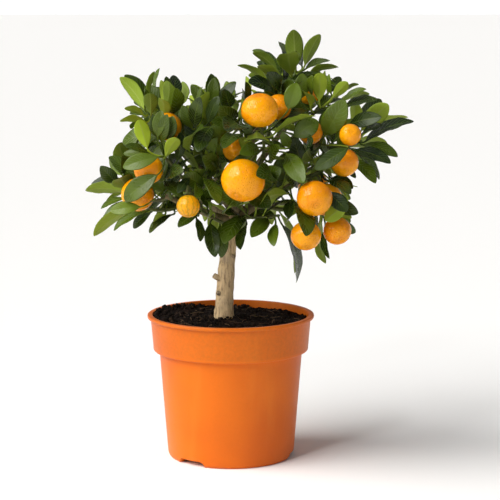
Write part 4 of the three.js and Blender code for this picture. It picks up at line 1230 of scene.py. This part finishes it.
# ---- fruit ----
def fruit_mesh(skin, name, index):
    centre, to_stalk, radius, polar = fruit_frame(name)
    around, down = 72, 48
    _, aside, up = frames_along([centre, centre + to_stalk])[0]
    points, notes = [], []
    for row in range(1, down):
        lean = math.pi * row / down
        for k in range(around):
            turn = 2 * math.pi * k / around
            flat = abs(math.sin(lean)) ** 0.96
            ribs = 0.02 * math.cos(5 * turn + index) * hill(lean, 0.4)
            spot = (3 * math.cos(turn) + index, 3 * math.sin(turn), 3 * math.cos(lean))
            swell = 1 + 0.012 * noise.noise(spot)
            height = math.cos(lean) * polar
            height -= radius * STALK_DIP * hill(lean, 0.26)
            height += radius * EYE_RISE * hill(math.pi - lean, 0.27)
            height -= radius * EYE_DIP * hill(math.pi - lean, 0.08)
            reach = radius * flat * (swell + ribs)
            points.append(centre + ray(aside, up, turn) * reach + to_stalk * height)
            notes.append((k / around, row / down, 0, 0, 0, 0))
    faces = loft_faces(down - 1, around, False, False)
    ends = ((0, polar - radius * STALK_DIP, 0.0), (down - 2, -polar + radius * EYE_DIP, 1.0))
    for row, at, share in ends:
        pole = len(points)
        points.append(centre + to_stalk * at)
        notes.append((0.5, share, 0, 0, 0, 0))
        for k in range(around):
            pair = (row * around + k, row * around + (k + 1) % around)
            faces.append((*(reversed(pair) if row == 0 else pair), pole))
    points = place(points)
    skin.add(points, outward(points, faces), 0, notes)


# ---- the shoots' meshes ----
def newness_of(pose, name):
    """How young a leaf is, from 0 to 1."""
    if name.startswith("back"):
        return 0.0
    tip = pose["tip"]
    return max(amount * math.exp(-((tip[0] - x) ** 2 + (tip[2] - z) ** 2) / reach ** 2)
               for x, z, reach, amount in YOUNG_PLACES)


def shoot_mesh(name, shoot, poses, extra, sizes, rng):
    skin = Skin()
    steps = 26
    path = tube_path(shoot["twig"], steps)
    radii = [(1.5 - 0.45 * k / steps) * MM * (1 + 0.1 * math.sin(k * 2.2)) for k in range(steps + 1)]
    tube(skin, path, radii, 12, TWIG, (0, 0, 0, 0, rng.uniform(0.1, 0.9), 0))
    end, direction = bezier(shoot["twig"], 1.0)
    bud = [place(end + direction * out) for out in (-1, 0.9, 2.1)]
    tube(skin, bud, [1.05 * MM, 1.1 * MM, 0.25 * MM], 10, TWIG)
    for fruit in shoot["fruits"]:
        add_stalk(skin, shoot, fruit, sizes, rng)
    for pose in poses:
        leaf_body(skin, pose, sizes, rng, sizes.petiole / MM / 2, newness_of(pose, name))
    for pose in extra:
        leaf_body(skin, pose, sizes, rng, sizes.petiole / MM / 2 * 0.8, pose.get("young", 0.0))
    return skin


# ---- settings ----
def size_of(name, description, default):
    return FloatProperty(name=name, description=description, default=default, min=0.0, unit="LENGTH",
                         subtype="DISTANCE", precision=5)


def colour_of(name, description, default):
    return FloatVectorProperty(name=name, description=description, default=default, min=0.0, max=1.0,
                               subtype="COLOR", size=3)


def share_of(name, description, default):
    return FloatProperty(name=name, description=description, default=default, min=0.0)


class CALAMONDIN_PG_pot(bpy.types.PropertyGroup):
    segments: IntProperty(name="Segments", description="Segments around the pot", default=192, min=32)
    plastic: colour_of("Plastic", "The pot's main colour", (0.72, 0.148, 0.0035))
    plastic_deep: colour_of("Deeper plastic", "The colour its broad patches deepen to", (0.62, 0.113, 0.0028))
    plastic_brown: colour_of("Brown", "The colour of its mottling and dust", (0.36, 0.1, 0.01))
    plastic_pale: colour_of("Pale", "The colour of faint rubbed streaks", (0.82, 0.26, 0.03))


class CALAMONDIN_PG_soil(bpy.types.PropertyGroup):
    crumbs: IntProperty(name="Crumbs", description="Loose crumbs on the peat", default=1500, min=0)
    rim_crumbs: IntProperty(name="Rim crumbs", description="Crumbs heaped against the rim",
                            default=420, min=0)
    fibres: IntProperty(name="Fibres", description="Fibres lying on the peat", default=100, min=0)
    peat_dark: colour_of("Dark peat", "The darkest peat", (0.004, 0.002, 0.0012))
    peat_brown: colour_of("Brown peat", "The main brown of the peat", (0.012, 0.0055, 0.003))
    peat_red: colour_of("Red peat", "A warmer brown in patches", (0.022, 0.009, 0.0045))
    peat_pale: colour_of("Pale crumbs", "The colour of the palest crumbs", (0.045, 0.025, 0.014))
    fibre_dark: colour_of("Dark fibre", "The darkest fibres", (0.05, 0.025, 0.012))
    fibre_pale: colour_of("Pale fibre", "The palest fibres", (0.17, 0.1, 0.05))


class CALAMONDIN_PG_wood(bpy.types.PropertyGroup):
    furrow: size_of("Furrows", "Depth of the bark's furrows", 0.00032)
    bark_dark: colour_of("Furrow", "The colour in the bark's furrows", (0.2, 0.125, 0.065))
    bark_pale: colour_of("Ridge", "The colour of the bark's ridges", (0.6, 0.43, 0.24))
    bark_grey: colour_of("Grey bark", "The greyer patches of bark", (0.43, 0.335, 0.215))
    bark_green: colour_of("Young bark", "The green of young bark", (0.045, 0.05, 0.014))


class CALAMONDIN_PG_fruit(bpy.types.PropertyGroup):
    peel: colour_of("Peel", "The ripe peel's colour", (0.87, 0.345, 0.0005))
    peel_deep: colour_of("Deep peel", "The deeper orange in patches", (0.8, 0.245, 0.0004))
    peel_pit: colour_of("Pits", "The colour in the peel's fine pits", (0.62, 0.145, 0.0006))
    peel_eye: colour_of("Eye", "The brown round the peel's eye", (0.42, 0.12, 0.003))
    peel_yellow: colour_of("Yellow peel", "The peel's yellow", (0.68, 0.36, 0.006))
    peel_green: colour_of("Green peel", "The green stripes of unripe peel", (0.16, 0.17, 0.008))


class CALAMONDIN_PG_leaf(bpy.types.PropertyGroup):
    blade_thickness: size_of("Blade", "Thickness of a leaf's blade", 0.00045)
    midrib: size_of("Midrib", "How far the midrib stands out under a leaf", 0.0003)
    petiole: size_of("Leaf stalk", "Diameter of a leaf's stalk", 0.0013)
    stalk: size_of("Fruit stalk", "Diameter of a fruit's stalk", 0.0018)
    calyx: size_of("Calyx", "Diameter of the calyx on a fruit", 0.0064)
    fill_leaves: IntProperty(name="Fill leaves", description="Most leaves added to a shoot inside the crown",
                             default=7, min=0)
    fill_reach: share_of("Fill reach", "How far out in the crown added leaves go", 0.72)
    leaf_dark: colour_of("Dark leaf", "The darkest upper side", (0.007, 0.016, 0.0015))
    leaf_green: colour_of("Green leaf", "The lightest upper side", (0.095, 0.148, 0.006))
    leaf_blue: colour_of("Cool leaf", "A cooler green of some leaves", (0.009, 0.028, 0.006))
    leaf_new: colour_of("New leaf", "The green of the newest leaves", (0.36, 0.5, 0.016))
    leaf_vein: colour_of("Vein", "The colour of the upper side's veins", (0.13, 0.18, 0.025))
    under_pale: colour_of("Pale underside", "The palest underside", (0.32, 0.42, 0.03))
    under_mid: colour_of("Middle underside", "The underside's middle green", (0.19, 0.27, 0.02))
    under_deep: colour_of("Deep underside", "The underside's deepest green", (0.08, 0.125, 0.009))
    under_vein: colour_of("Underside vein", "The colour of the underside's veins", (0.28, 0.34, 0.07))
    twig_green: colour_of("Twig", "The green of young twigs", (0.07, 0.11, 0.012))
    twig_brown: colour_of("Brown twig", "The brown of older twigs", (0.08, 0.06, 0.02))
    twig_pale: colour_of("Pale twig", "The pale streaks on twigs", (0.15, 0.19, 0.05))


class CALAMONDIN_PG_stage(bpy.types.PropertyGroup):
    floor_radius: size_of("Floor", "Radius of the floor", 400.0)
    floor: colour_of("Floor", "The floor's colour", (0.95, 0.95, 0.95))
    sky: share_of("Surrounding light", "Strength of the light from all round", 0.23)
    key: share_of("Key", "Strength of the key light", 3.85)
    near: FloatProperty(name="Near light", description="Power of the near light", default=4.2, unit="POWER")
    softness: FloatProperty(name="Softness", description="How wide the key light is",
                            default=math.radians(55), subtype="ANGLE", unit="ROTATION")
    lens: FloatProperty(name="Lens", description="The camera's focal length in millimetres", default=120.4)
    distance: size_of("Distance", "From the camera to the object", 1.3)


# ---- operators ----
class CALAMONDIN_OT_pot(bpy.types.Operator):
    """Make the nursery pot"""

    bl_idname = "calamondin.pot"
    bl_label = "Pot"

    def execute(self, context):
        look = context.scene.calamondin_pot
        skin = Skin()
        pot_mesh(skin, look.segments)
        piece = skin.object("nursery_pot", [finish(pot_plastic, look)])
        settle(piece, "pot")
        return {"FINISHED"}


class CALAMONDIN_OT_soil(bpy.types.Operator):
    """Make the peat with its crumbs and fibres"""

    bl_idname = "calamondin.soil"
    bl_label = "Peat"

    def execute(self, context):
        look = context.scene.calamondin_soil
        skin = Skin()
        soil_mesh(skin, look)
        piece = skin.object("peat_fill", [finish(peat, look), finish(fibre, look)])
        settle(piece, "soil")
        return {"FINISHED"}


class CALAMONDIN_OT_wood(bpy.types.Operator):
    """Make the trunk and branches"""

    bl_idname = "calamondin.wood"
    bl_label = "Trunk and branches"

    def execute(self, context):
        look = context.scene.calamondin_wood
        skin = Skin()
        wood_mesh(skin, look)
        piece = skin.object("grown_wood", [finish(bark, look), finish(cut_wood, look)])
        settle(piece, "trunk_and_branches")
        return {"FINISHED"}


class CALAMONDIN_OT_fruit(bpy.types.Operator):
    """Make the fruits"""

    bl_idname = "calamondin.fruit"
    bl_label = "Fruits"

    def execute(self, context):
        look = context.scene.calamondin_fruit
        for index, (name, row) in enumerate(FRUITS.items()):
            shader = unripe_peel if len(row) > 4 else ripe_peel
            skin = Skin()
            fruit_mesh(skin, name, index)
            piece = skin.object(name.replace("fruit", "peel"), [finish(shader, look)])
            settle(piece, name)
        return {"FINISHED"}


class CALAMONDIN_OT_shoots(bpy.types.Operator):
    """Make the shoots with their leaves"""

    bl_idname = "calamondin.shoots"
    bl_label = "Shoots"

    def execute(self, context):
        look = context.scene.calamondin_leaf
        shoots, plan, extra = plan_leaves(look, look.fill_leaves)
        finishes = [finish(shader, look) for shader in (leaf_upper, leaf_under, green_twig, calyx_green)]
        rng = np.random.default_rng(SHOOT_SEED)
        for name, shoot in shoots.items():
            skin = shoot_mesh(name, shoot, plan[name], extra[name], look, rng)
            piece = skin.object("leafy_" + name, finishes)
            settle(piece, "shoot_" + name)
        return {"FINISHED"}


def lamp(name, kind, energy, way):
    """A light that shines this way."""
    light = bpy.data.lights.new(name, kind)
    light.energy = energy
    made = bpy.data.objects.new(name, light)
    made.rotation_euler = Vector(way).to_track_quat("-Z", "Y").to_euler()
    bpy.context.scene.collection.objects.link(made)
    return made


def studio_lights(look):
    """A broad light from the upper left in front, and a small near one for clear highlights."""
    key = lamp("key", "SUN", look.key, KEY_WAY).data
    key.angle, key.color = look.softness, (1.0, 0.98, 0.95)
    near = lamp("near", "AREA", look.near, Vector(NEAR_AIM) - Vector(NEAR_AT))
    near.data.size, near.location = NEAR_SIZE, NEAR_AT


def studio_sky(look):
    """White light from all round, brighter at the horizon."""
    world = bpy.data.worlds.new("studio")
    world.use_nodes = True
    tree = world.node_tree
    sky = tree.nodes["Background"]
    ramp = tree.nodes.new("ShaderNodeMapRange")
    split = tree.nodes.new("ShaderNodeSeparateXYZ")
    tree.links.new(tree.nodes.new("ShaderNodeTexCoord").outputs["Generated"], split.inputs[0])
    tree.links.new(split.outputs["Z"], ramp.inputs["Value"])
    tree.links.new(ramp.outputs["Result"], sky.inputs["Strength"])
    for key, value in (("From Min", 0.02), ("From Max", 0.12), ("To Min", 1.05), ("To Max", look.sky)):
        ramp.inputs[key].default_value = value
    sky.inputs["Color"].default_value = (1, 1, 1, 1)
    return world


class CALAMONDIN_OT_stage(bpy.types.Operator):
    """Make the floor, the lights and the camera"""

    bl_idname = "calamondin.stage"
    bl_label = "Stage"

    def execute(self, context):
        look = context.scene.calamondin_stage
        scene = context.scene
        sides = 128
        rim = [(*on_circle(look.floor_radius, 2 * math.pi * k / sides), 0) for k in range(sides)]
        mesh = bpy.data.meshes.new("floor")
        mesh.from_pydata(rim, [], [tuple(range(sides))])
        net = Net("floor")
        grain = net.noise(6.0, 2.0)
        colour = net.mix(grain * 0.02, look.floor, (0.85, 0.85, 0.85))
        mesh.materials.append(net.surface(Base_Color=colour, Roughness=0.9, Specular_IOR_Level=0.1))
        floor = bpy.data.objects.new("floor", mesh)
        scene.collection.objects.link(floor)
        scene.world = studio_sky(look)
        studio_lights(look)
        camera = bpy.data.objects.new("camera", bpy.data.cameras.new("camera"))
        camera.data.lens = look.lens
        target = Vector(place(CAMERA_AIM))
        lean = math.radians(CAMERA_LIFT)
        camera.location = target + look.distance * Vector((0, -math.cos(lean), math.sin(lean)))
        camera.rotation_euler = (target - camera.location).to_track_quat("-Z", "Y").to_euler()
        scene.collection.objects.link(camera)
        scene.camera = camera
        scene.view_settings.view_transform = "Standard"
        return {"FINISHED"}


class CALAMONDIN_PT_panel(bpy.types.Panel):
    """Lists what makes the potted calamondin"""

    bl_idname = "CALAMONDIN_PT_panel"
    bl_label = "Potted calamondin"
    bl_space_type = "VIEW_3D"
    bl_region_type = "UI"
    bl_category = "Calamondin"

    def draw(self, context):
        for operator in OPERATORS:
            self.layout.operator(operator.bl_idname)


GROUPS = {
    "calamondin_pot": CALAMONDIN_PG_pot, "calamondin_soil": CALAMONDIN_PG_soil,
    "calamondin_wood": CALAMONDIN_PG_wood, "calamondin_fruit": CALAMONDIN_PG_fruit,
    "calamondin_leaf": CALAMONDIN_PG_leaf, "calamondin_stage": CALAMONDIN_PG_stage,
}
OPERATORS = (
    CALAMONDIN_OT_pot, CALAMONDIN_OT_soil, CALAMONDIN_OT_wood, CALAMONDIN_OT_fruit,
    CALAMONDIN_OT_shoots, CALAMONDIN_OT_stage,
)


def register():
    for kind in (*GROUPS.values(), *OPERATORS, CALAMONDIN_PT_panel):
        bpy.utils.register_class(kind)
    for name, kind in GROUPS.items():
        setattr(bpy.types.Scene, name, PointerProperty(type=kind))


def unregister():
    for name in GROUPS:
        delattr(bpy.types.Scene, name)
    for kind in (CALAMONDIN_PT_panel, *OPERATORS[::-1], *list(GROUPS.values())[::-1]):
        bpy.utils.unregister_class(kind)


def main():
    register()
    bpy.ops.calamondin.pot()
    bpy.ops.calamondin.soil()
    bpy.ops.calamondin.wood()
    bpy.ops.calamondin.fruit()
    bpy.ops.calamondin.shoots()
    bpy.ops.calamondin.stage()


if __name__ == "__main__":
    main()
